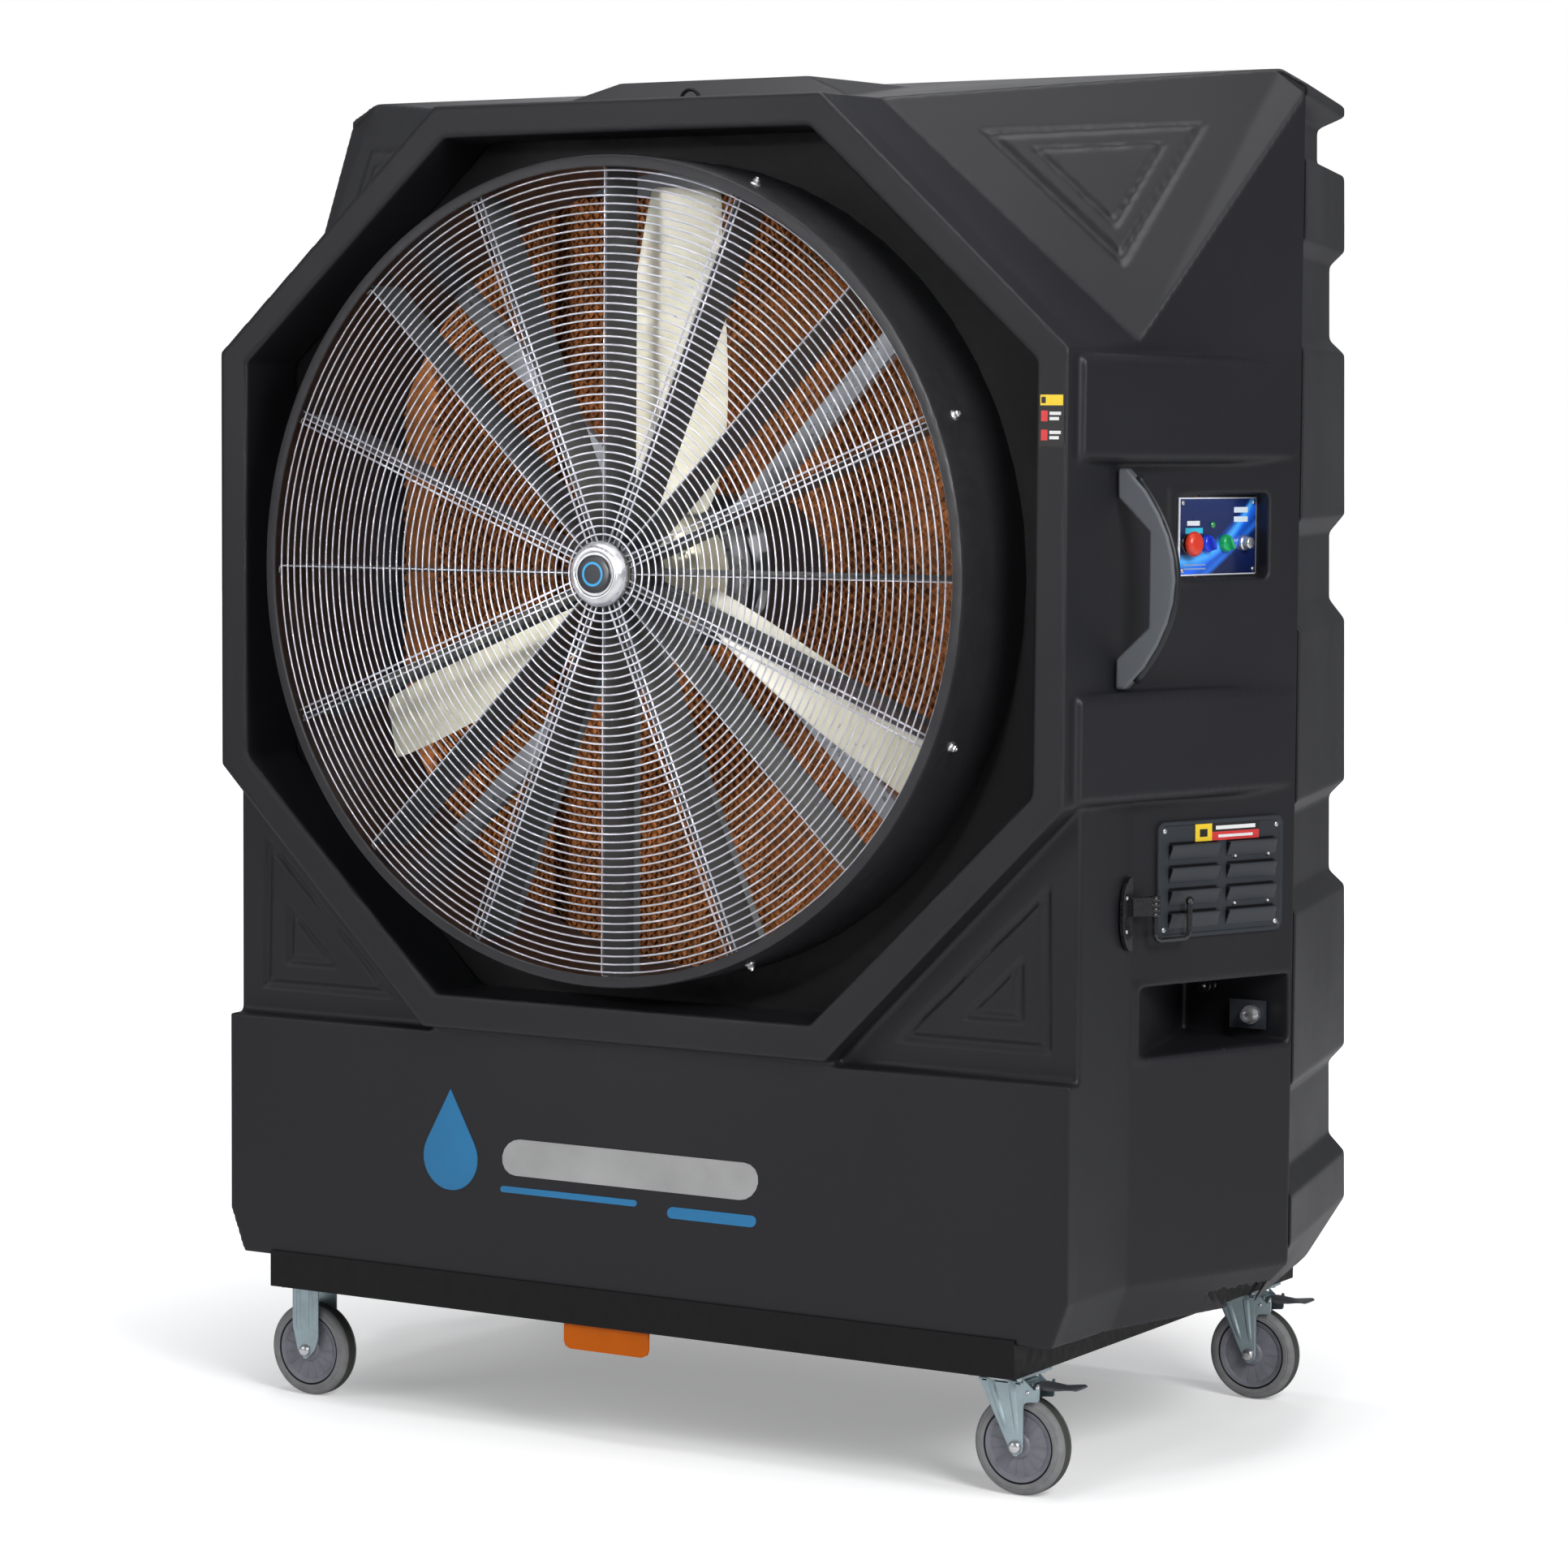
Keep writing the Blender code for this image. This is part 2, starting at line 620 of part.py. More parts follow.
def wire_guard():
    """Front guard of round rings on radial spokes; the rings here are a coarse set."""
    rings = bmesh.new()
    count = 6
    for i in range(count):
        radius = 0.062 + (GUARD_RADIUS - 0.062) * i / (count - 1)
        ring_of_wire(rings, radius, GUARD_Y, 0.0022, 32)
    guard = add(rings, "wire_guard", zinc_steel())
    spokes = bmesh.new()
    for i in range(SPOKES):
        radial_bar(spokes, 22.5 + 45.0 * i, 0.040, 0.616, GUARD_Y, GUARD_Y + 0.006, 0.010)
    join(guard, add(spokes, "guard_spokes", None, CUTTERS))
    hub = turned("guard_hub_ring", [(0.066, -0.001), (0.066, -0.006), (0.036, -0.006), (0.036, -0.001)],
                 at(0, GUARD_Y, FAN_Z), (0, -1, 0), None, 32, ring=True, collection_name=CUTTERS)
    hub.modifiers["turn"].use_normal_flip = False
    join(guard, hub)
    return guard


def guard_centre():
    plate = turned("guard_hub_plate", [(0.0, 0.020), (0.030, 0.020), (0.044, 0.016), (0.050, 0.010),
                                       (0.050, 0.0), (0.0, 0.0)],
                   at(0, GUARD_Y - 0.0026, FAN_Z), (0, -1, 0), zinc_steel(), 32)
    badge = turned("guard_badge", [(0.0, 0.004), (0.024, 0.004), (0.029, 0.002), (0.029, 0.0), (0.0, 0.0)],
                   at(0, GUARD_Y - 0.0026 - 0.020 - GAP, FAN_Z), (0, -1, 0),
                   material("badge_plastic", (0.02, 0.03, 0.05), 0.3), 28)
    return plate, badge


def guard_vanes():
    """Straightening vanes behind the guard, welded to a centre tube."""
    vanes = cylinder("guard_vanes", at(0, 0.006, FAN_Z), (0, 1, 0), 0.050, 0.092,
                     material("vane_steel", (0.075, 0.078, 0.083), 0.45, 0.3), 32)
    blades = bmesh.new()
    for i in range(VANES):
        radial_bar(blades, 360.0 * i / VANES, 0.042, 0.6215, -0.038, 0.052, 0.003)
    join(vanes, add(blades, "vane_plates", None, CUTTERS))
    return vanes


def blade_section(radius, chord, shift, pitch, thickness):
    """Closed airfoil loop of a blade that stands straight up; its leading edge is to the right and rear."""
    loop = []
    shape = ((0.5, 0.0), (0.38, 0.55), (0.12, 1.0), (-0.20, 0.75), (-0.5, 0.05),
             (-0.20, -0.12), (0.12, -0.10), (0.38, -0.20))
    turn = Matrix.Rotation(math.radians(pitch), 3, "Z")
    for along, lift in shape:
        camber = 0.10 * chord * (0.25 - along * along)
        loop.append(turn @ Vector((along * chord + shift, lift * thickness + camber, radius)))
    return loop


def fan_blade(number, degrees):
    """One moulded airfoil blade."""
    turn = Matrix.Rotation(-math.radians(degrees - 90.0), 4, "Y")
    place = Matrix.Translation(at(0, BLADE_Y, FAN_Z))
    loops = [[place @ turn @ p for p in blade_section(*section)] for section in BLADE_SECTIONS]
    blade = loft(f"fan_blade_{number}", loops, material("blade_nylon", (0.62, 0.60, 0.50), 0.4))
    set_origin(blade, at(0, BLADE_Y, FAN_Z))
    return blade


def fan_hub():
    hub = turned("fan_hub", [(0.0, 0.058), (0.030, 0.056), (0.052, 0.048), (0.080, 0.044), (0.0865, 0.036),
                             (0.0865, -0.044), (0.070, -0.050), (0.0, -0.050)],
                 at(0, BLADE_Y, FAN_Z), (0, -1, 0), material("hub_aluminium", (0.55, 0.55, 0.53), 0.45, 0.8),
                 24)
    hole = cylinder("hub_bore", at(0, BLADE_Y + 0.048, FAN_Z), (0, 1, 0), 0.0204, 0.1236, None, 24, CUTTERS)
    cut(hub, hole)
    return hub


def fan_drive():
    """Shaft and motor behind the fan."""
    shaft = cylinder("fan_shaft", at(0, 0.1745, FAN_Z), (0, 1, 0), 0.020, 0.095,
                     material("shaft_steel", (0.6, 0.6, 0.6), 0.3, 1.0), 24)
    steel = material("motor_grey", (0.10, 0.105, 0.11), 0.5, 0.2)
    motor = turned("fan_motor", [(0.0, 0.230), (0.070, 0.230), (0.112, 0.205), (0.120, 0.190), (0.120, 0.030),
                                 (0.112, 0.016), (0.075, 0.0), (0.0, 0.0)],
                   at(0, 0.2235, FAN_Z), (0, 1, 0), steel, 24)
    return shaft, motor


def motor_mount():
    """Four diagonal arms on a centre ring, from the fan ring to the motor's nose."""
    mount = turned("motor_mount", [(0.100, 0.0), (0.100, -0.020), (0.024, -0.020), (0.024, 0.0)],
                   at(0, 0.223, FAN_Z), (0, 1, 0), material("mount_steel", (0.42, 0.44, 0.46), 0.4, 0.7),
                   32, ring=True)
    arms = bmesh.new()
    for i in range(4):
        radial_bar(arms, 45.0 + 90.0 * i, 0.090, 0.6225, 0.205, 0.221, 0.036)
    join(mount, add(arms, "mount_arms", None, CUTTERS))
    return mount


# Water circuit

def pad_row(inset, back, y0, y1):
    """Plan of one side pad: its outer edge, then its inner edge."""
    front, rear = Vector(SIDE_REAR), Vector((REAR_HALF[1], REAR_WALL_Y))
    slope = (front.x - rear.x) / (rear.y - front.y)
    outer = [Vector((front.x - inset - slope * (y - front.y), y)) for y in (y0, y1)]
    across = Vector((1.0, slope)).normalized() * back
    return outer, [point - across for point in outer]


def cooling_pads():
    """Three pads: one across the rear and one along each tapered side."""
    paper = material("cellulose", (0.13, 0.035, 0.008), 0.9)
    low, high = PAD_Z
    outer, inner = pad_row(0.042, PAD_THICKNESS, PAD_FRONT, 0.850)
    plan = [outer[0], outer[1], inner[1], inner[0]]
    column("pad_right", [tuple(p) for p in plan], low, high, paper)
    column("pad_left", [(-p.x, p.y) for p in plan], low, high, paper)
    box("pad_rear", (-0.712, 0.9535 - PAD_THICKNESS, low), (0.712, 0.9535, high), paper)


def u_plan(inset, back, y0, rear):
    """A U-shaped plan that runs round under or over the three pads."""
    outer, inner = pad_row(inset, back, y0, rear)
    step = back * 1.02
    near, far = inner
    share = (rear - step - near.y) / (far.y - near.y)
    corner = near + (far - near) * share
    right = [tuple(inner[0]), tuple(outer[0]), tuple(outer[1])]
    return [*right, *[(-x, y) for x, y in reversed(right)], (-corner.x, corner.y), (corner.x, corner.y)]


def pad_supports():
    """Shelf that the pads stand on, and the channel that wets them."""
    shelf = column("pad_shelf", u_plan(0.040, 0.094, PAD_FRONT, 0.953), 0.600, PAD_Z[0] - GAP, trim_plastic())
    channel = column("water_channel", u_plan(0.060, 0.070, PAD_FRONT + 0.010, 0.935), PAD_Z[1] + GAP, 2.050,
                     trim_plastic())
    groove = column("channel_groove", u_plan(0.066, 0.058, PAD_FRONT + 0.016, 0.929), PAD_Z[1] + 0.010, 2.100,
                    None, CUTTERS)
    cut(channel, groove)
    return shelf, channel


def pump_circuit():
    plastic = material("pump_plastic", (0.02, 0.03, 0.06), 0.4)
    pump = turned("pump", [(0.0, 0.110), (0.028, 0.110), (0.032, 0.104), (0.032, 0.050), (0.050, 0.040),
                           (0.050, 0.0), (0.0, 0.0)],
                  at(0.500, 0.420, BODY_BOTTOM + 0.0105), (0, 0, 1), plastic, 24)
    route = [(0.500, 0.420, 0.3705), (0.500, 0.420, 0.480), (0.510, 0.424, 0.505), (0.650, 0.474, 0.560),
             (0.670, 0.480, 0.590), (0.672, 0.481, 0.630), (0.720, 0.480, 2.020), (0.722, 0.488, 2.066),
             (0.730, 0.510, 2.078), (0.758, 0.620, 2.078), (0.764, 0.636, 2.070), (0.765, 0.640, 2.020)]
    pipe = tube("supply_pipe", [at(*p) for p in route], 0.011,
                material("grey_hose", (0.16, 0.16, 0.17), 0.6), resolution=1)
    return pump, pipe


def float_valve():
    """Fill valve on the tank's wall, and the arm with its float."""
    x, y, z = FLOAT_PIVOT
    brass = material("brass", (0.45, 0.30, 0.10), 0.35, 1.0)
    body = box("float_valve", (x - 0.128, y - 0.016, z - 0.016), (x - 0.014, y + 0.016, z + 0.016), brass)
    arm = tube("float_arm", [at(x - 0.006, y, z), at(x + 0.060, y, z - 0.012), at(x + 0.130, y, z - 0.030)],
               0.004, brass, resolution=1)
    ball = bmesh.new()
    bmesh.ops.create_uvsphere(ball, u_segments=16, v_segments=10, radius=0.045,
                              matrix=Matrix.Translation(at(x + 0.170, y, z - 0.040)))
    join(arm, add(ball, "float_ball", None, CUTTERS))
    set_origin(arm, at(*FLOAT_PIVOT))
    return body, arm


def inlet_group():
    """Water inlet on a square plate in the side pocket, and its shut-off valve."""
    wall_y = 0.535
    plate = box("inlet_plate", (0.790, wall_y - 0.018, 0.667), (0.850, wall_y - 0.0135, 0.711),
                trim_plastic())
    profile = [(0.0, 0.010), (0.006, 0.022), (0.010, 0.022), (0.010, 0.008), (0.0145, 0.008), (0.0145, 0.0),
               (0.0, 0.0)]
    inlet = turned("water_inlet", profile, at(0.828, wall_y - 0.0184, 0.689), (0, -1, 0),
                   material("chrome", (0.75, 0.75, 0.75), 0.15, 1.0), 20)
    return plate, inlet


# Electrics and controls

def control_frame():
    """Centre, along, and outward directions of the control plate."""
    front, _, deep = RECESS_PLAN
    start, end = at(*front, 0.0), at(*deep, 0.0)
    along = (end - start).normalized()
    outward = Vector((along.y, -along.x, 0.0))
    return start, along, outward, (end - start).length


def on_plate(share, z, out):
    start, along, outward, length = control_frame()
    place = start + along * (length * share) + outward * out
    return Vector((place.x, place.y, z))


def control_plate():
    """Flat face plate on the slanted floor of the control recess."""
    loops = []
    for out in (GAP, PLATE_OUT):
        corners = ((0.030, 1.367), (0.985, 1.367), (0.985, 1.484), (0.030, 1.484))
        loops.append([on_plate(share, z, out) for share, z in corners])
    return loft("control_plate", loops, material("plate_blue", (0.01, 0.02, 0.09), 0.3))


def plate_turned(name, share, z, profile, made_of, steps=24):
    _, _, outward, _ = control_frame()
    return turned(name, profile, on_plate(share, z, PLATE_OUT + GAP), outward, made_of, steps)


def selector(name, share, colour):
    """A round selector switch with a raised grip bar."""
    _, along, outward, _ = control_frame()
    plastic = material(name + "_plastic", colour, 0.35)
    knob = plate_turned(name, share, CONTROL_Z, [(0.0, 0.010), (0.0115, 0.010), (0.013, 0.008), (0.013, 0.0),
                                                 (0.0, 0.0)], plastic, 20)
    middle = on_plate(share, CONTROL_Z, PLATE_OUT + 0.0115)
    bar = bmesh.new()
    turn = Matrix((along, Vector((0, 0, 1)), outward)).transposed().to_4x4()
    size = Matrix.Diagonal((0.006, 0.023, 0.012, 1.0))
    bmesh.ops.create_cube(bar, size=1.0, matrix=Matrix.Translation(middle) @ turn @ size)
    join(knob, add(bar, name + "_grip", None, CUTTERS))
    return knob


def controls():
    mushroom = [(0.0, 0.024), (0.012, 0.0225), (0.018, 0.0175), (0.019, 0.0135), (0.017, 0.0105),
                (0.009, 0.009), (0.009, 0.004), (0.0, 0.004)]
    red = material("red_plastic", (0.55, 0.03, 0.01), 0.35)
    plate_turned("estop_button", 0.115, CONTROL_Z, mushroom, red, 28)
    selector("pump_switch", 0.350, (0.01, 0.02, 0.45))
    selector("fan_switch", 0.577, (0.01, 0.35, 0.10))
    knob = [(0.0, 0.016), (0.009, 0.016), (0.011, 0.014), (0.012, 0.0), (0.0, 0.0)]
    plate_turned("speed_knob", 0.810, CONTROL_Z, knob, material("knob_chrome", (0.7, 0.7, 0.7), 0.2, 1.0))
    lens = [(0.0, 0.005), (0.003, 0.0045), (0.0048, 0.003), (0.0052, 0.0), (0.0, 0.0)]
    plate_turned("power_lamp", 0.430, 1.4427, lens, material("green_lamp", (0.02, 0.25, 0.05), 0.2), 16)


def rounded_side_plate(name, along0, along1, z0, z1, out0, out1, radius, made_of, collection_name=PARTS):
    """A flat plate on the flared side, with rounded corners."""
    run = (Vector(SIDE_REAR) - Vector(SIDE_FRONT)).length
    loops = []
    for out in (out0, out1):
        loop = []
        corners = (((along1, z0), -90, -1, 1), ((along1, z1), 0, -1, -1),
                   ((along0, z1), 90, 1, -1), ((along0, z0), 180, 1, 1))
        for (along, z), start, sx, sz in corners:
            for step in range(4):
                turn = math.radians(start + 30.0 * step)
                da = (sx * radius + radius * math.cos(turn)) / run
                dz = sz * radius + radius * math.sin(turn)
                loop.append(side_point(along + da, out, z + dz))
        loops.append(loop)
    return loft(name, loops, made_of, collection_name)


def louver_cover():
    """Vented cover plate of the electrical box, with pressed louvres that open upwards."""
    cover = rounded_side_plate("louver_cover", 0.140, 0.898, 0.826, 1.002, GAP, 0.005, 0.014, trim_plastic())
    hoods = bmesh.new()
    direction = (side_point(1, 0, 0) - side_point(0, 0, 0)).normalized()
    normal = side_normal()
    for column_place in (0.358, 0.705):
        for row in range(4):
            z = 0.841 + 0.0343 * row
            middle = side_point(column_place, 0.0, z)
            half = 0.053
            ends = [middle - direction * half, middle + direction * half]
            rows = []
            for end in ends:
                top = end + Vector((0, 0, 0.0235))
                rows.append([end + normal * 0.003, end + normal * 0.0055 + Vector((0, 0, 0.002)),
                             top + normal * 0.0145, top + normal * 0.003])
            verts = [[hoods.verts.new(p) for p in line] for line in rows]
            for k in range(4):
                hoods.faces.new((verts[0][k], verts[0][(k + 1) % 4], verts[1][(k + 1) % 4], verts[1][k]))
            hoods.faces.new(reversed(verts[0]))
            hoods.faces.new(verts[1])
    join(cover, add(hoods, "louver_hoods", None, CUTTERS))
    return cover


def electrical_box():
    """Sealed drive box behind the louvred cover."""
    return rounded_side_plate("electrical_box", 0.22, 0.82, 0.850, 0.980, -0.095, -WALL - 0.002, 0.010,
                              material("box_grey", (0.2, 0.2, 0.2), 0.6))


def handles():
    """Bowed grips in the hollows between the side blocks."""
    top, bottom, wall_x = 1.527, 1.204, 0.776
    arc = []
    steps = 10
    for i in range(steps + 1):
        share = i / steps
        z = bottom + (top - bottom) * share
        arc.append((wall_x + 0.014 + 0.080 * math.sin(math.pi * share) ** 0.8, z))
    inner = [(wall_x, top), (wall_x, top - 0.042), (wall_x + 0.052, top - 0.092),
             (wall_x + 0.052, bottom + 0.092), (wall_x, bottom + 0.044), (wall_x, bottom)]
    for name, sign in (("handle_right", 1), ("handle_left", -1)):
        outline = [(sign * x, z) for x, z in (*arc, *inner)]
        prism(name, outline, 0.140, 0.160, material("handle_grey", (0.07, 0.078, 0.09), 0.45))


def hook_plate():
    """Upright plate with a hinge barrel for the cord hook."""
    x, y = 0.7762, 0.180
    middle, half = 0.869, 0.055
    outline = [(y + 0.016, middle - half), (y + 0.016, middle + half)]
    for step in range(13):
        share = math.cos(math.pi * step / 12)
        outline.append((y + 0.010 - 0.026 * (1.0 - abs(share) ** 2.4) ** 0.6, middle + half * share))
    faces = [[at(level, *place) for place in outline] for level in (x, x + 0.006)]
    plate = loft("hook_plate", faces, trim_plastic())
    arm = [(x + 0.004, y + 0.006), (x + 0.012, y + 0.006), (HOOK_AXIS[0] + 0.004, HOOK_AXIS[1] - 0.004),
           (HOOK_AXIS[0] - 0.004, HOOK_AXIS[1] + 0.004), (x + 0.004, y + 0.015)]
    bridge = column("hook_bridge", arm, 0.866, 0.894, None, CUTTERS)
    barrel = cylinder("hook_barrel", at(*HOOK_AXIS, 0.880), (0, 0, 1), 0.0085, 0.030, None, 20, CUTTERS)
    join(plate, bridge, barrel)
    return plate


def cord_hook():
    """J-shaped bar that swings about the barrel's upright axis."""
    direction = (side_point(1, 0, 0) - side_point(0, 0, 0)).normalized()
    x, y = HOOK_AXIS
    start = at(x, y, 0.0)
    reach = 0.072

    def place(distance, z):
        p = start + direction * distance
        return Vector((p.x, p.y, z))

    route = [place(0.0, 0.8646), place(0.0, 0.838), place(0.004, 0.831), place(0.011, 0.828)]
    route += [place(reach - 0.011, 0.828), place(reach - 0.004, 0.831), place(reach, 0.838)]
    route += [place(reach, 0.880)]
    hook = tube("cord_hook", route, 0.0042, trim_plastic(), resolution=1)
    tip = bmesh.new()
    bmesh.ops.create_uvsphere(tip, u_segments=12, v_segments=8, radius=0.0065,
                              matrix=Matrix.Translation(place(reach, 0.884)))
    join(hook, add(tip, "hook_tip", None, CUTTERS))
    set_origin(hook, at(x, y, 0.860))
    return hook


def roof_eye():
    """Small wire eye on the roof in front of the hump."""
    points = []
    for i in range(9):
        turn = math.pi * i / 8
        z = roof_height(0.196) + 0.0006 + 0.020 * math.sin(turn)
        points.append(at(-0.018 * math.cos(turn), 0.196, z))
    return tube("roof_eye", points, 0.003, black_steel(), resolution=1)


# Casters

def wheel(name, centre):
    """Tyre and core in one, with a hub bore."""
    r, half = WHEEL_RADIUS, WHEEL_WIDTH / 2
    profile = [(0.0075, half), (0.020, half), (0.023, half - 0.004), (0.055, half - 0.004), (0.058, half),
               (r - 0.004, half - 0.002), (r, half - 0.010)]
    profile += [(radius, -height) for radius, height in reversed(profile)]
    grey = material("wheel_grey", (0.17, 0.17, 0.18), 0.6)
    made = turned(name, profile, centre, (0, 1, 0), grey, 24, ring=True)
    made.modifiers["turn"].use_normal_flip = False
    return made


def fork_mesh(name, centre_x, wheel_x, y, top, collection_name=PARTS):
    """A pressed fork: a top plate and two legs that taper to the axle."""
    half = WHEEL_WIDTH / 2 + 0.004
    sheet = 0.004
    legs = []
    for side, sign in (("a", -1), ("b", 1)):
        y0, y1 = sorted((y + sign * half, y + sign * (half + sheet)))
        outline = [(centre_x - 0.036, top - 0.001), (centre_x - 0.036, top - 0.022),
                   (wheel_x - 0.016, WHEEL_RADIUS - 0.004), (wheel_x - 0.008, WHEEL_RADIUS - 0.016),
                   (wheel_x + 0.008, WHEEL_RADIUS - 0.016), (wheel_x + 0.016, WHEEL_RADIUS - 0.004),
                   (centre_x + 0.036, top - 0.022), (centre_x + 0.036, top - 0.001)]
        legs.append(prism(f"{name}_leg_{side}", outline, y0, y1, None, CUTTERS))
    crown = box(name, (centre_x - 0.036, y - half - sheet, top - 0.005),
                (centre_x + 0.036, y + half + sheet, top), zinc_steel(), collection_name)
    join(crown, *legs)
    bore = cylinder(name + "_bore", at(wheel_x, y, WHEEL_RADIUS), (0, 1, 0), 0.0066, 0.2, None, 12, CUTTERS)
    cut(crown, bore)
    return crown


def axle(name, centre):
    """Axle bolt with a head and a nut outside the fork."""
    half = WHEEL_WIDTH / 2 + 0.008 + GAP
    rod = cylinder(name, centre, (0, 1, 0), 0.006, 2 * half + 0.004, zinc_steel(), 12)
    for end, sign in (("head", -1), ("nut", 1)):
        place = Vector(centre) + Vector((0, sign * (half + 0.0035), 0))
        join(rod, cylinder(f"{name}_{end}", place, (0, 1, 0), 0.0105, 0.007, None, 6, CUTTERS))
    return rod


def rigid_caster(tag, y):
    top = FRAME_BOTTOM - GAP
    plate = box(f"rigid_plate_{tag}", (RIGID_X - 0.042, y - 0.048, top - 0.006),
                (RIGID_X + 0.042, y + 0.048, top), zinc_steel())
    join(plate, fork_in_cutters(f"rigid_fork_{tag}", RIGID_X, RIGID_X, y, top - 0.003))
    axle(f"axle_{tag}", at(RIGID_X, y, WHEEL_RADIUS))
    wheel(f"wheel_{tag}", at(RIGID_X, y, WHEEL_RADIUS))


def fork_in_cutters(name, centre_x, wheel_x, y, top):
    fork = fork_mesh(name, centre_x, wheel_x, y, top, CUTTERS)
    fork.hide_render = True
    fork.display_type = "WIRE"
    return fork


def swivel_caster(tag, y):
    top = FRAME_BOTTOM - GAP
    plate = box(f"swivel_plate_{tag}", (SWIVEL_X - 0.050, y - 0.048, top - 0.006),
                (SWIVEL_X + 0.050, y + 0.048, top), zinc_steel())
    ring = [(0.0, 0.0), (0.030, 0.0), (0.033, -0.004), (0.033, -0.010), (0.0, -0.010)]
    race = turned(f"swivel_race_{tag}", ring, at(SWIVEL_X, y, top - 0.003), (0, 0, 1), None, 24,
                  collection_name=CUTTERS)
    join(plate, race)
    fork_top = top - 0.0135
    wheel_x = SWIVEL_X + TRAIL
    fork = fork_mesh(f"swivel_fork_{tag}", SWIVEL_X, wheel_x, y, fork_top)
    join(fork, box(f"pedal_ear_{tag}", (SWIVEL_X + 0.030, y - 0.012, fork_top - 0.010),
                   (SWIVEL_X + 0.050, y + 0.012, fork_top - 0.001), None, CUTTERS))
    axle(f"axle_{tag}", at(wheel_x, y, WHEEL_RADIUS))
    wheel(f"wheel_{tag}", at(wheel_x, y, WHEEL_RADIUS))
    brake_pedal(tag, y, fork_top)


def brake_pedal(tag, y, fork_top):
    """Rocking pedal behind the wheel; it hinges on the fork's rear ear."""
    pivot = (SWIVEL_X + 0.057, fork_top - 0.006)
    x, z = pivot
    outline = [(x - 0.0045, z - 0.005), (x + 0.010, z - 0.008), (x + 0.052, z - 0.002),
               (x + 0.068, z + 0.001), (x + 0.068, z + 0.004), (x + 0.050, z + 0.004),
               (x + 0.012, z + 0.006), (x - 0.0045, z + 0.005)]
    pedal = prism(f"brake_pedal_{tag}", outline, y - 0.024, y + 0.024,
                  material("pedal_grey", (0.05, 0.055, 0.06), 0.5))
    set_origin(pedal, at(x, y, z))
    return pedal


def build():
    for obj in list(bpy.data.objects):
        bpy.data.objects.remove(obj)
    collection(PARTS)
    collection(CUTTERS, hidden=True)
    main_housing()
    rear_housing()
    rear_grille()
    water_tank()
    drain_plug()
    base_frame()
    front_tab()
    fan_bulkhead()
    fan_ring()
    wire_guard()
    guard_centre()
    guard_vanes()
    for number in range(BLADES):
        fan_blade(number + 1, BLADE_START + 360.0 * number / BLADES)
    fan_hub()
    fan_drive()
    motor_mount()
    cooling_pads()
    pad_supports()
    pump_circuit()
    float_valve()
    inlet_group()
    control_plate()
    controls()
    louver_cover()
    electrical_box()
    handles()
    hook_plate()
    cord_hook()
    roof_eye()
    for tag, y in zip(("FL", "RL"), CASTER_Y):
        rigid_caster(tag, y)
    for tag, y in zip(("FR", "RR"), CASTER_Y):
        swivel_caster(tag, y)


build()
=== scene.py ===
"""Looks of the portable evaporative cooler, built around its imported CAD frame.

Metres, +Z up, the fan blows towards -Y. Places come from the CAD nodes' boxes. Lengths named
"depth" run from the collar's front face towards the rear.
"""

from math import copysign, cos, pi, radians, sin, sqrt

import bmesh
import bpy
from mathutils import Matrix, Vector


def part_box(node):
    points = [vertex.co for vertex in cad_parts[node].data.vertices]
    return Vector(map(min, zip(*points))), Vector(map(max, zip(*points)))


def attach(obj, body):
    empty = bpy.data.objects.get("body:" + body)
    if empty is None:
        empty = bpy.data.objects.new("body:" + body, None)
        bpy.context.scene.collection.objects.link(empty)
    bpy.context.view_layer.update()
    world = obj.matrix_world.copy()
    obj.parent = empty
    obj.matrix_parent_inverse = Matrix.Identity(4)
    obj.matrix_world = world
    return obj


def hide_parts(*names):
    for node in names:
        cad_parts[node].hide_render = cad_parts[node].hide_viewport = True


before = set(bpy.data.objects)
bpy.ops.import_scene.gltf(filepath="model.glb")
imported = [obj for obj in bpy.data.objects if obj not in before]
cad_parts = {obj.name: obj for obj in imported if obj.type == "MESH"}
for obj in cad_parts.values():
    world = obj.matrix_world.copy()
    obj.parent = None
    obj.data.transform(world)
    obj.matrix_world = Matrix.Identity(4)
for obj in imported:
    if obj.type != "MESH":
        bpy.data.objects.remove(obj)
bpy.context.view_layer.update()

SCENE = bpy.context.scene
BODY = "cooler"
ROTOR = "fan_rotor"
X, Y, Z = Vector((1, 0, 0)), Vector((0, 1, 0)), Vector((0, 0, 1))


# Places

def corners(node):
    """Lowest and highest corner of a CAD node's box."""
    return [Vector(corner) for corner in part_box(node)]


def middle(node):
    low, high = corners(node)
    return (low + high) / 2


RING_LOW, RING_HIGH = corners("fan_ring")
RING_RADIUS = (RING_HIGH.x - RING_LOW.x) / 2
RING_LIP = 0.018
FAN_Z = (RING_HIGH.z + RING_LOW.z) / 2
FACE_Y = RING_LOW.y + 0.060
GUARD_DEPTH = corners("wire_guard")[0].y + 0.0022 - FACE_Y
GUARD_RINGS = 45
SPOKES = 16
GUARD_INNER, GUARD_OUTER = 0.060, 0.607


def at(x, depth, z):
    return Vector((x, FACE_Y + depth, z))


def polar(radius, degrees, depth):
    """A point about the fan axis; 0 degrees is +X and 90 is up."""
    turn = radians(degrees)
    return at(radius * cos(turn), depth, FAN_Z + radius * sin(turn))


# Materials

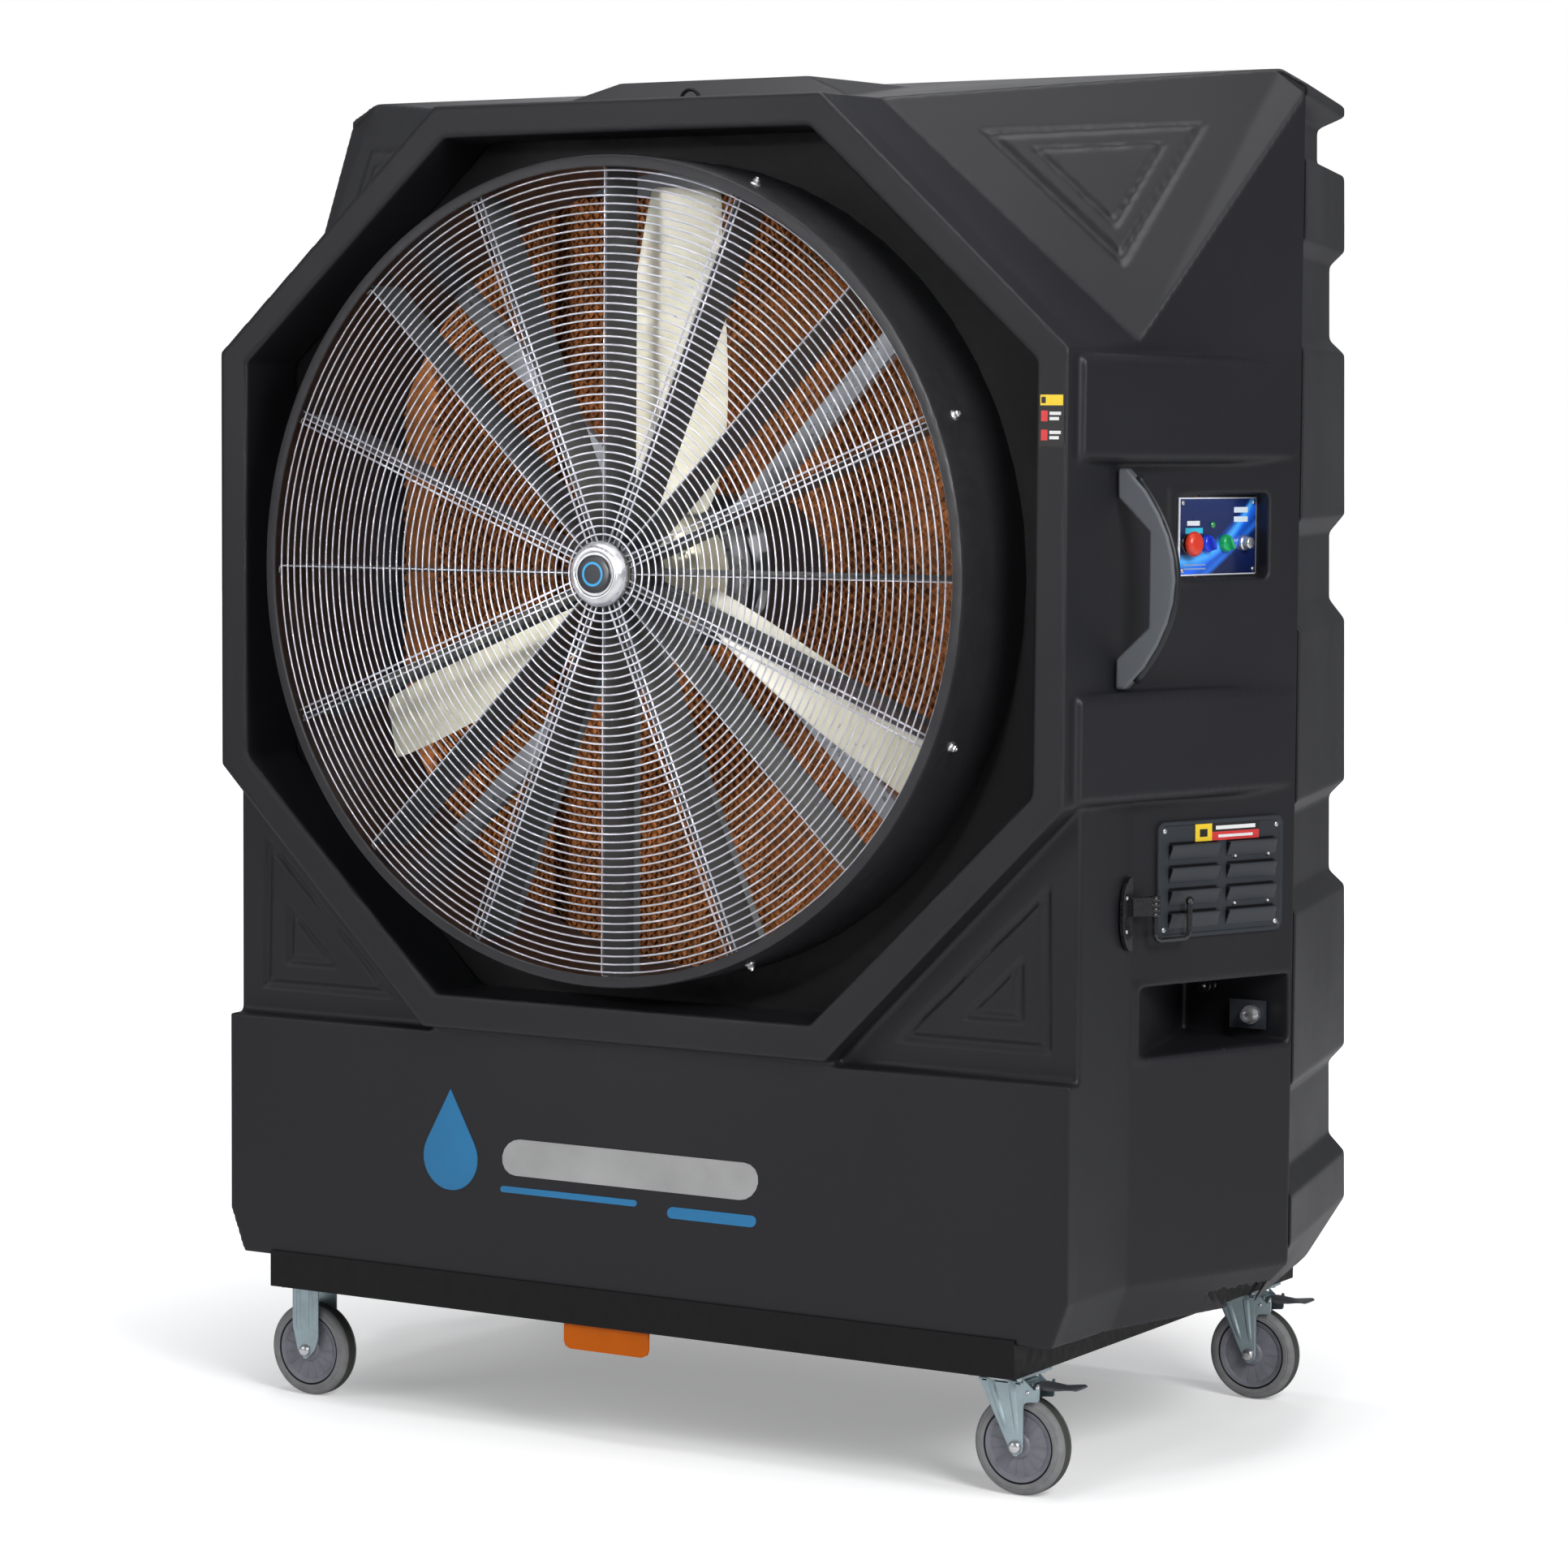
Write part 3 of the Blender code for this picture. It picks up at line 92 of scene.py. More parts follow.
class Graph:
    """Short names for building one material's nodes."""

    def __init__(self, name):
        self.material = bpy.data.materials.new(name)
        self.material.use_nodes = True
        self.nodes = self.material.node_tree.nodes
        self.links = self.material.node_tree.links
        self.shader = self.nodes["Principled BSDF"]
        self.where = self.nodes.new("ShaderNodeTexCoord").outputs["Object"]

    def put(self, value, socket):
        """Links a node's output to a socket, or sets the socket to a number, vector or colour."""
        if hasattr(value, "is_output"):
            self.links.new(value, socket)
        else:
            socket.default_value = (*value, 1) if socket.type == "RGBA" else value

    def set(self, **inputs):
        for key, value in inputs.items():
            self.put(value, self.shader.inputs[key.replace("_", " ").title()])

    def node(self, kind, inputs, **settings):
        """The outputs of a new node."""
        node = self.nodes.new("ShaderNode" + kind)
        for key, value in settings.items():
            setattr(node, key, value)
        for key, value in inputs.items():
            self.put(value, node.inputs[key])
        return node.outputs

    def noise(self, scale, detail=2, stretch=None):
        where = self.where
        if stretch:
            where = self.node("Mapping", {"Vector": where, "Scale": stretch})["Vector"]
        return self.node("TexNoise", {"Vector": where, "Scale": scale, "Detail": detail})["Fac"]

    def voronoi(self, scale, feature="F1"):
        return self.node("TexVoronoi", {"Vector": self.where, "Scale": scale}, feature=feature)["Distance"]

    def span(self, value, low, high, to_low, to_high):
        ends = {"From Min": low, "From Max": high, "To Min": to_low, "To Max": to_high}
        return self.node("MapRange", {"Value": value, **ends})["Result"]

    def math(self, operation, a, b=0):
        return self.node("Math", {0: a, 1: b}, operation=operation)[0]

    def mix(self, factor, a, b):
        return self.node("Mix", {0: factor, 6: a, 7: b}, data_type="RGBA")[2]

    def axis(self, which):
        return self.node("SeparateXYZ", {0: self.where})[which]

    def share(self, direction, start, end):
        """0 at start and 1 at end, both measured along a direction."""
        reach = self.node("VectorMath", {0: self.where, 1: direction}, operation="DOT_PRODUCT")["Value"]
        return self.span(reach, start, end, 0, 1)

    def between(self, value, low, high):
        return self.math("MULTIPLY", self.math("GREATER_THAN", value, low), self.math("LESS_THAN", value, high))

    def field(self, u, v, u0, u1, v0, v1):
        """1 inside a rectangle of u and v, 0 outside it."""
        return self.math("MULTIPLY", self.between(u, u0, u1), self.between(v, v0, v1))

    def bump(self, height, distance, strength=1, under=None):
        inputs = {"Height": height, "Distance": distance, "Strength": strength}
        if under is not None:
            inputs["Normal"] = under
        return self.node("Bump", inputs)["Normal"]

    def finish(self, colour, roughness, normal=None):
        self.set(base_color=colour, roughness=roughness)
        if normal is not None:
            self.set(normal=normal)
        return self.material


def scaled(colour, share):
    return tuple(min(1, channel * share) for channel in colour)


def moulded_plastic(name, colour, roughness=0.5, grain=(1500, 0.00012), mottle=0.1, cloud=3, shine=0.35):
    """Plastic with a fine pebble grain, faint cloudiness and a few paler scuffs."""
    g = Graph(name)
    clouds = g.noise(cloud, 4)
    speck = g.noise(grain[0] * 0.35, 3)
    tone = g.mix(g.span(clouds, 0.3, 0.7, 0, 1), scaled(colour, 1 - mottle), scaled(colour, 1 + mottle))
    tone = g.mix(g.span(speck, 0.35, 0.75, 0, 0.35), tone, scaled(colour, 1.35))
    scuffs = g.span(g.noise(45, 6, (1, 1, 0.12)), 0.66, 0.8, 0, 0.22)
    tone = g.mix(scuffs, tone, scaled(colour, 1.9))
    rough = g.span(clouds, 0.3, 0.7, roughness - 0.05, roughness + 0.06)
    coarse = g.bump(g.noise(26, 2), 0.0006, 0.35)
    pebble = g.bump(g.voronoi(grain[0], "SMOOTH_F1"), grain[1], 0.8, coarse)
    g.shader.inputs["Specular IOR Level"].default_value = shine
    return g.finish(tone, rough, pebble)


def painted(name, colour, roughness=0.4, metallic=0, shine=0.5):
    """Powder coat: a low orange peel with slightly uneven gloss."""
    g = Graph(name)
    patches = g.noise(9, 4)
    tone = g.mix(g.span(patches, 0.3, 0.7, 0, 1), scaled(colour, 0.9), scaled(colour, 1.12))
    rough = g.span(g.noise(60, 3), 0.3, 0.7, roughness - 0.07, roughness + 0.07)
    normal = g.bump(g.noise(520, 2), 0.0001, 0.7)
    g.set(metallic=metallic)
    g.shader.inputs["Specular IOR Level"].default_value = shine
    return g.finish(tone, rough, normal)


def zinc(name, colour, roughness=0.3, spangle=220, metallic=0.9):
    """Zinc plate: bright metal with crystal patches and fine drawn lines."""
    g = Graph(name)
    cells = g.voronoi(spangle)
    patches = g.noise(30, 4)
    tone = g.mix(g.span(patches, 0.3, 0.7, 0, 1), scaled(colour, 0.78), scaled(colour, 1.1))
    tone = g.mix(g.span(cells, 0, 0.7, 0, 0.25), tone, scaled(colour, 0.8))
    rough = g.span(patches, 0.25, 0.75, roughness - 0.06, roughness + 0.12)
    normal = g.bump(g.noise(900, 2, (1, 1, 0.08)), 0.00006, 0.6)
    g.set(metallic=metallic)
    return g.finish(tone, rough, normal)


def gloss(name, colour, roughness=0.25, coat=0.3):
    """Glossy moulding with faint flow marks."""
    g = Graph(name)
    marks = g.noise(70, 4)
    tone = g.mix(g.span(marks, 0.3, 0.7, 0, 1), scaled(colour, 0.88), scaled(colour, 1.1))
    rough = g.span(g.noise(200, 3), 0.3, 0.7, roughness - 0.05, roughness + 0.08)
    g.set(coat_weight=coat, coat_roughness=0.12)
    return g.finish(tone, rough, g.bump(g.noise(400, 2), 0.00005, 0.6))


def cellulose():
    """Wetted kraft paper: brown and blotchy, with fibres."""
    g = Graph("cellulose_paper")
    fibre = g.noise(420, 5, (1, 1, 0.35))
    blotch = g.noise(38, 5)
    tone = g.mix(g.span(blotch, 0.3, 0.7, 0, 1), (0.045, 0.013, 0.003), (0.26, 0.082, 0.013))
    tone = g.mix(g.span(fibre, 0.4, 0.75, 0, 0.8), tone, (0.36, 0.125, 0.024))
    normal = g.bump(fibre, 0.0008, 0.8)
    return g.finish(tone, g.span(fibre, 0.2, 0.8, 0.75, 0.95), normal)


def blade_plastic():
    """Cream reinforced nylon with a soft sheen and flow lines along the blade."""
    g = Graph("blade_nylon_cream")
    flow = g.noise(18, 4)
    dots = g.voronoi(650)
    tone = g.mix(g.span(flow, 0.3, 0.7, 0, 1), (0.6, 0.57, 0.45), (0.7, 0.67, 0.55))
    tone = g.mix(g.span(dots, 0, 0.1, 0.35, 0), tone, (0.4, 0.36, 0.26))
    rough = g.span(flow, 0.3, 0.7, 0.28, 0.42)
    return g.finish(tone, rough, g.bump(g.noise(260, 3), 0.00012, 0.6))


def rubber(name, colour):
    """Tyre rubber: matt, with patches of pale dust and fine darker flecks."""
    g = Graph(name)
    dust = g.noise(60, 5)
    tone = g.mix(g.span(dust, 0.35, 0.7, 0, 0.6), scaled(colour, 0.85), scaled(colour, 1.3))
    fine = g.noise(700, 3)
    tone = g.mix(g.span(fine, 0.5, 0.8, 0, 0.4), tone, scaled(colour, 0.6))
    return g.finish(tone, g.span(dust, 0.3, 0.7, 0.55, 0.75), g.bump(fine, 0.00015, 0.8))


HOUSING = moulded_plastic("housing_black", (0.0105, 0.0105, 0.0128), 0.44, shine=0.3)
TRIM = moulded_plastic("trim_slate", (0.022, 0.026, 0.032), 0.4, (1100, 0.00008), 0.06, 9)
HANDLE = moulded_plastic("handle_slate", (0.085, 0.092, 0.103), 0.45, (1300, 0.0001), 0.06, 12)
HANDLE_EDGE = moulded_plastic("handle_edge", (0.009, 0.01, 0.012), 0.35, (1300, 0.0001), 0.06, 12)
BLACK_STEEL = painted("black_powder_coat", (0.003, 0.003, 0.0035), 0.5, shine=0.22)
RING_PAINT = painted("ring_powder_coat", (0.014, 0.014, 0.016), 0.42, shine=0.35)
VANE_PAINT = painted("vane_powder_coat", (0.085, 0.09, 0.094), 0.36, 0.25)
ORANGE = painted("tab_orange", (0.48, 0.095, 0), 0.5, shine=0.15)
MOTOR_PAINT = painted("motor_enamel", (0.01, 0.01, 0.011), 0.4)
MOUNT_PAINT = painted("mount_silver", (0.26, 0.27, 0.29), 0.32, 0.6)
WIRE = zinc("guard_wire", (0.44, 0.44, 0.49), 0.3, 900, 0.35)
ZINC = zinc("caster_zinc", (0.36, 0.45, 0.48), 0.32, 220, 0.7)
STEEL = zinc("bright_steel", (0.66, 0.66, 0.68), 0.25, 500)
CREAM_METAL = painted("hub_cream", (0.5, 0.47, 0.35), 0.36, 0.15)
BRASS = zinc("brass_fitting", (0.55, 0.36, 0.12), 0.3, 300, 1)
PAPER = cellulose()
CREAM = blade_plastic()
TYRE = rubber("tyre_grey", (0.2, 0.2, 0.204))
TREAD = rubber("tread_dark", (0.04, 0.044, 0.036))
CORE = gloss("wheel_core", (0.165, 0.165, 0.195), 0.45, 0)
RED = gloss("button_red", (0.6, 0.03, 0.008), 0.38)
BLUE = gloss("switch_blue", (0.01, 0.035, 0.55), 0.25)
GREEN = gloss("switch_green", (0.01, 0.36, 0.11), 0.25)
LAMP = gloss("lamp_green", (0.01, 0.2, 0.05), 0.12, 0.8)
BLACK_GLOSS = gloss("gloss_black", (0.006, 0.006, 0.007), 0.25)
HOSE = gloss("hose_grey", (0.15, 0.15, 0.16), 0.5, 0)
PEDAL = gloss("pedal_grey", (0.06, 0.064, 0.07), 0.42, 0)
BOX_GREY = moulded_plastic("box_grey", (0.2, 0.2, 0.2), 0.5)


# Pieces

def new_piece(name, mesh, material, slot, node=None, body=BODY):
    """A piece that rides on a body and, where a node is named, stands in for it."""
    obj = bpy.data.objects.new(name, mesh)
    SCENE.collection.objects.link(obj)
    mesh.materials.clear()
    mesh.materials.append(material)
    if node:
        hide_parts(node)
    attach(obj, body)
    return obj


def mesh_from(bm, name, smooth=True):
    bmesh.ops.recalc_face_normals(bm, faces=bm.faces)
    mesh = bpy.data.meshes.new(name)
    bm.to_mesh(mesh)
    bm.free()
    mesh.polygons.foreach_set("use_smooth", [smooth] * len(mesh.polygons))
    return mesh


def round_piece(name, bm, *rest, **named):
    """A piece with smooth shading, from a bmesh."""
    return new_piece(name, mesh_from(bm, name), *rest, **named)


def flat_piece(name, bm, *rest, **named):
    """A piece with flat faces, from a bmesh."""
    return new_piece(name, mesh_from(bm, name, False), *rest, **named)


def add_bevel(obj, width, segments=3, angle=30):
    bevel = obj.modifiers.new("bevel", "BEVEL")
    bevel.width = width
    bevel.segments = segments
    bevel.limit_method = "ANGLE"
    bevel.angle_limit = radians(angle)
    bevel.use_clamp_overlap = True
    weigh(obj)


def weigh(obj):
    normals = obj.modifiers.new("normals", "WEIGHTED_NORMAL")
    normals.keep_sharp = True
    normals.weight = 60


def node_mesh(node):
    """A copy of a CAD node's mesh with its flat faces made whole."""
    bm = bmesh.new()
    bm.from_mesh(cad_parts[node].data)
    bmesh.ops.transform(bm, matrix=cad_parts[node].matrix_world, verts=bm.verts)
    bmesh.ops.remove_doubles(bm, verts=bm.verts, dist=0.00002)
    bmesh.ops.dissolve_limit(bm, angle_limit=radians(0.8), verts=bm.verts, edges=bm.edges)
    return bm


VOXEL = 0.004                  # of the remesh that rounds the mouldings
RIM_SINK = 0.008               # how far their thin lower rim goes down into the frame


def moulded(node, name):
    """Copy of a moulded CAD node whose edges are rounded all over, as on a rotationally moulded shell."""
    source = bpy.data.objects.new(name + "_source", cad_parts[node].data.copy())
    SCENE.collection.objects.link(source)
    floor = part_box(node)[0][2]
    for vert in source.data.vertices:
        if vert.co.z < floor + 0.0005:
            vert.co.z -= RIM_SINK
    skin = source.modifiers.new("skin", "REMESH")
    skin.mode = "VOXEL"
    skin.voxel_size = VOXEL
    soften = source.modifiers.new("soften", "SMOOTH")
    soften.iterations = 4
    thin = source.modifiers.new("thin", "DECIMATE")
    thin.ratio = 0.125
    mesh = bpy.data.meshes.new_from_object(source.evaluated_get(bpy.context.evaluated_depsgraph_get()))
    bpy.data.objects.remove(source)
    mesh.polygons.foreach_set("use_smooth", [True] * len(mesh.polygons))
    weigh(new_piece(name, mesh, HOUSING, "housing_plastic", node))


def wall(bm, low, high):
    """Faces between two loops of vertices."""
    for k in range(len(low)):
        j = (k + 1) % len(low)
        bm.faces.new((low[k], low[j], high[j], high[k]))


def circle(sides):
    return [2 * pi * k / sides for k in range(sides)]


def tube_mesh(bm, points, radius, sides=6):
    """A round wire along points, added to bm."""
    rows = []
    across = None
    for i, point in enumerate(points):
        ahead = (points[min(i + 1, len(points) - 1)] - points[max(i - 1, 0)]).normalized()
        if across is None:
            across = ahead.cross(Z if abs(ahead.z) < 0.9 else X).normalized()
        else:
            across = (across - ahead * across.dot(ahead)).normalized()
        other = ahead.cross(across)
        rows.append([bm.verts.new(point + across * radius * cos(a) + other * radius * sin(a))
                     for a in circle(sides)])
    close_rows(bm, rows)


def close_rows(bm, rows):
    """Walls between neighbouring loops, and a cap at each end."""
    for low, high in zip(rows, rows[1:]):
        wall(bm, low, high)
    bm.faces.new(reversed(rows[0]))
    bm.faces.new(rows[-1])


def ring_mesh(bm, radius, depth, wire, segments):
    """A round ring of wire about the fan axis."""
    rows = []
    for i in range(segments):
        degrees = 360 * i / segments
        rows.append([bm.verts.new(polar(radius + wire * cos(a), degrees, depth + wire * sin(a)))
                     for a in circle(6)])
    for low, high in zip(rows, rows[1:] + rows[:1]):
        wall(bm, low, high)


def spun(bm, profile, centre, axis, steps=64, closed=False):
    """Adds a (radius, height) profile turned about an axis through centre to bm."""
    turn = Vector(axis).to_track_quat("Z", "Y").to_matrix().to_4x4()
    place = Matrix.Translation(Vector(centre)) @ turn
    rows = []
    for radius, height in profile:
        if radius < 1e-6:
            rows.append([bm.verts.new(place @ Vector((0, 0, height)))])
            continue
        rows.append([bm.verts.new(place @ Vector((radius * cos(a), radius * sin(a), height)))
                     for a in circle(steps)])
    for low, high in zip(rows, rows[1:] + rows[:1] if closed else rows[1:]):
        if len(low) > 1 and len(high) > 1:
            wall(bm, low, high)
            continue
        for k in range(steps):
            j = (k + 1) % steps
            bm.faces.new((low[0], high[k], high[j]) if len(low) == 1 else (low[k], low[j], high[0]))
    return bm


def spun_piece(name, profile, centre, axis, material, slot, node=None, body=BODY, steps=64, closed=False):
    bm = spun(bmesh.new(), profile, centre, axis, steps, closed)
    edge = round_piece(name, bm, material, slot, node, body).modifiers.new("normals", "EDGE_SPLIT")
    edge.split_angle = radians(35)
    edge.use_edge_sharp = False


def block_mesh(bm, centre, size, turn=Matrix.Identity(4)):
    place = Matrix.Translation(Vector(centre)) @ turn
    bmesh.ops.create_cube(bm, size=1, matrix=place @ Matrix.Diagonal((*size, 1)))


def loft_loops(bm, loops):
    """A closed solid through loops of points, added to bm."""
    close_rows(bm, [[bm.verts.new(point) for point in loop] for loop in loops])


def basis(out):
    """4x4 turn whose X runs along a face, Y up it and Z out of it."""
    out = Vector(out).normalized()
    along = Z.cross(out).normalized()
    return Matrix((along, out.cross(along), out)).transposed().to_4x4()


def screw_head(bm, centre, out, radius, height):
    """A domed screw head, added to bm."""
    spun(bm, [(0, height), (radius * 0.55, height * 0.92), (radius * 0.88, height * 0.55), (radius, 0),
              (radius * 0.96, -0.0004), (0, -0.0004)], centre, out, 16)


# Housing

def housings():
    moulded("main_housing", "front_moulding")
    moulded("rear_housing", "rear_moulding")
    joint_flange()


def joint_flange():
    """Flange inside the joint between the two mouldings, a little inside their outline."""
    low, high = corners("rear_housing")
    bm = node_mesh("rear_housing")
    everything = bm.verts[:] + bm.edges[:] + bm.faces[:]
    bmesh.ops.bisect_plane(bm, geom=everything, plane_co=(0, low.y + 0.012, 0), plane_no=Y, clear_outer=True)
    rim = [edge for edge in bm.edges if edge.is_boundary]
    bmesh.ops.triangle_fill(bm, use_beauty=True, edges=rim, normal=(0, 1, 0))
    middle_z = (low.z + high.z) / 2
    for vert in bm.verts:
        vert.co = Vector((vert.co.x * 0.9955, vert.co.y - 0.006, middle_z + (vert.co.z - middle_z) * 0.9955))
    flat_piece("joint_flange", bm, HOUSING, "housing_plastic")


# Fan guard

BOLT_PROFILES = (          # washer, nut and the stud's end, each with its number of sides
    ([(0, 0.0025), (0.0075, 0.0025), (0.0085, 0.0015), (0.0085, -0.002), (0, -0.002)], 20),
    ([(0, 0.0085), (0.0045, 0.0085), (0.0055, 0.007), (0.0055, 0), (0, 0)], 6),
    ([(0, 0.0115), (0.0024, 0.0115), (0.0028, 0.0108), (0.0028, 0), (0, 0)], 12),
)


def fan_ring():
    front = RING_LOW.y - FACE_Y
    depth = RING_HIGH.y - RING_LOW.y
    outer, inner, lip = RING_RADIUS, RING_RADIUS - 0.004, RING_RADIUS - RING_LIP
    profile = [(inner, depth), (inner, 0.014), (inner - 0.003, 0.009), (lip + 0.003, 0.006), (lip, 0.0045),
               (lip, 0.0015), (lip + 0.0015, 0), (outer - 0.006, 0), (outer - 0.002, 0.0015),
               (outer, 0.006), (outer, depth)]
    spun_piece("ring_shroud", profile, at(0, front, FAN_Z), Y, RING_PAINT, "ring_steel", "fan_ring",
               steps=160, closed=True)
    bm = bmesh.new()
    for k in range(8):
        degrees = 22.5 + 45 * k
        out = polar(1, degrees, 0) - polar(0, degrees, 0)
        place = polar(outer, degrees, -0.004)
        for profile, steps in BOLT_PROFILES:
            spun(bm, profile, place, out, steps)
    flat_piece("ring_bolts", bm, STEEL, "zinc_steel")


def spoke(k):
    """Directions along and across one of the guard's spokes."""
    turn = radians(360 / SPOKES * k)
    return Vector((cos(turn), 0, sin(turn))), Vector((-sin(turn), 0, cos(turn)))


def wire_guard():
    bm = bmesh.new()
    for i in range(GUARD_RINGS):
        radius = GUARD_INNER + (GUARD_OUTER - GUARD_INNER) * i / (GUARD_RINGS - 1)
        ring_mesh(bm, radius, GUARD_DEPTH, 0.0015, 144 if radius > 0.3 else 96)
    round_piece("guard_rings", bm, WIRE, "zinc_steel", "wire_guard")
    bm = bmesh.new()
    centre = at(0, GUARD_DEPTH + 0.003, FAN_Z)
    for k in range(SPOKES):
        along, across = spoke(k)
        if k % 2:
            for shift in (-0.009, 0.009):
                start = centre + across * shift
                tube_mesh(bm, [start + along * r for r in (0.045, 0.2, 0.4, 0.6175)], 0.0017, 8)
        hook = [centre + along * r for r in (0.045, 0.2, 0.4, 0.6085)]
        hook += [centre + along * r + across * side for r, side in
                 ((0.6125, 0.0015), (0.6135, 0.005), (0.6135, 0.011))]
        tube_mesh(bm, hook, 0.0011)
    round_piece("guard_spokes", bm, WIRE, "zinc_steel")


def guard_vanes():
    low, high = corners("guard_vanes")
    front, rear = low.y - FACE_Y + 0.001, high.y - FACE_Y
    half = 0.0011
    for k in range(SPOKES):
        along, across = spoke(k)
        bm = bmesh.new()
        loops = []
        for radius in (0.05, 0.0505, 0.2, 0.4, 0.6195, 0.6205):
            lead = front + (0.004 if radius in (0.05, 0.6205) else 0)
            loops.append([at(0, depth, FAN_Z) + along * radius + across * side for depth, side in
                          ((lead, -half), (lead, half), (rear - 0.008, half), (rear, half + 0.006),
                           (rear, half + 0.0038), (rear - 0.007, -half))])
        loft_loops(bm, loops)
        flat_piece(f"vane_{k:02d}", bm, VANE_PAINT, "vane_steel", None if k else "guard_vanes")
    tube = [(0.046, front), (0.05, front), (0.0515, front + 0.0015), (0.0515, rear - 0.0015), (0.05, rear),
            (0.046, rear)]
    spun_piece("vane_hub", tube, at(0, 0, FAN_Z), Y, VANE_PAINT, "vane_steel", closed=True)


def guard_centre():
    low, high = corners("guard_hub_plate")
    radius = (high.x - low.x) / 2
    rise = high.y - low.y
    profile = [(0, rise - 0.002), (0.033, rise - 0.002), (0.0345, rise - 0.0005), (0.036, rise),
               (0.041, rise - 0.001), (0.045, rise - 0.004), (0.0475, rise - 0.009), (radius - 0.0008, rise - 0.012),
               (radius, rise - 0.0135), (radius, 0.002), (radius - 0.001, 0), (0, 0)]
    spun_piece("hub_plate", profile, at(0, high.y - FACE_Y, FAN_Z), -Y, STEEL, "zinc_steel", "guard_hub_plate",
               steps=72)
    low, high = corners("guard_badge")
    g = Graph("badge_face")
    x, z = g.axis(0), g.axis(2)
    dz = g.math("SUBTRACT", z, FAN_Z)
    radial = g.math("POWER", g.math("ADD", g.math("MULTIPLY", x, x), g.math("MULTIPLY", dz, dz)), 0.5)
    band = g.between(radial, 0.015, 0.0185)
    flecks = g.span(g.noise(900, 3), 0.3, 0.7, 0.8, 1.2)
    tone = g.mix(band, (0.004, 0.005, 0.008), (0.006, 0.16, 0.32))
    tone = g.mix(g.span(flecks, 0.8, 1.2, 0, 0.02), tone, (0.2, 0.2, 0.22))
    face = g.finish(tone, 0.45, g.bump(g.noise(500), 0.00004, 0.5))
    radius = (high.x - low.x) / 2 + 0.0055
    profile = [(0, 0.004), (0.02, 0.0038), (0.0265, 0.0031), (0.0285, 0.002), (0.029, 0.0006), (0.029, 0),
               (0, 0)]
    spun_piece("hub_badge", profile, at(0, high.y - FACE_Y, FAN_Z), -Y, face, "badge_plastic", "guard_badge")


# Fan

FIRST_BLADE = 86                # degrees about the fan axis
BLADE_DEPTH = 0.14
BLADE_SECTIONS = (                # radius, chord, shift of its middle, pitch, thickness
    (0.0872, 0.105, 0, 44, 0.026), (0.105, 0.122, 0.001, 43, 0.025), (0.16, 0.148, 0.002, 41, 0.022),
    (0.23, 0.157, 0, 37.5, 0.018), (0.3, 0.158, -0.004, 34, 0.016), (0.375, 0.151, -0.008, 30, 0.013),
    (0.45, 0.138, -0.011, 26, 0.011), (0.53, 0.122, -0.011, 22.5, 0.009), (0.583, 0.112, -0.009, 20.2, 0.007),
    (0.5895, 0.11, -0.009, 20, 0.0055),
)


def blade_loop(radius, chord, shift, pitch, thickness):
    """Airfoil loop of a blade that stands straight up; its leading edge is to the right and rear."""
    turn = Matrix.Rotation(radians(pitch), 3, "Z")
    loop = []
    for a in circle(22):
        along = 0.5 * cos(a)
        fat = sin(a) * thickness * (0.55 + 0.45 * cos(a)) * 0.5
        camber = 0.1 * chord * (0.25 - along * along)
        loop.append(turn @ Vector((along * chord + shift, fat + camber, radius)))
    return loop


def blades():
    for number in range(3):
        turn = Matrix.Rotation(-radians(FIRST_BLADE + 120 * number - 90), 4, "Y")
        place = Matrix.Translation(at(0, BLADE_DEPTH, FAN_Z))
        bm = bmesh.new()
        loft_loops(bm, [[place @ turn @ p for p in blade_loop(*section)] for section in BLADE_SECTIONS])
        node = f"fan_blade_{number + 1}"
        obj = round_piece(f"blade_{number + 1}", bm, CREAM, "blade_nylon", node, ROTOR)
        smooth = obj.modifiers.new("smooth", "SUBSURF")
        smooth.levels = smooth.render_levels = 1


def fan_core():
    low, high = corners("fan_hub")
    depth = high.y - FACE_Y
    length = high.y - low.y
    radius = (high.x - low.x) / 2
    profile = [(0, length), (0.018, length - 0.001), (0.03, length - 0.002), (0.034, length - 0.01),
               (0.05, length - 0.014), (0.07, length - 0.018), (0.082, length - 0.02), (radius, length - 0.026),
               (radius, 0.012), (radius - 0.004, 0.006), (0.07, 0), (0.021, 0), (0.021, 0.0632), (0, 0.0632)]
    spun_piece("rotor_hub", profile, at(0, depth, FAN_Z), -Y, CREAM_METAL, "hub_aluminium", "fan_hub", ROTOR)
    bm = bmesh.new()
    for k in range(12):
        a = radians(30 * k)
        centre = at(0.06 * cos(a), depth - length + 0.016, FAN_Z + 0.06 * sin(a))
        spun(bm, [(0, 0.006), (0.005, 0.006), (0.006, 0.005), (0.006, -0.001), (0, -0.001)], centre, -Y, 6)
    flat_piece("rotor_bolts", bm, STEEL, "hub_aluminium", body=ROTOR)


# Pads

PAD_PITCH = 0.0105         # between the pads' paper sheets
PAD_WAVE = 0.02            # length of one flute
SHEET_HALF = 0.0006
PAD_SKIN = 0.009           # how far the solid middle stays inside a pad's faces


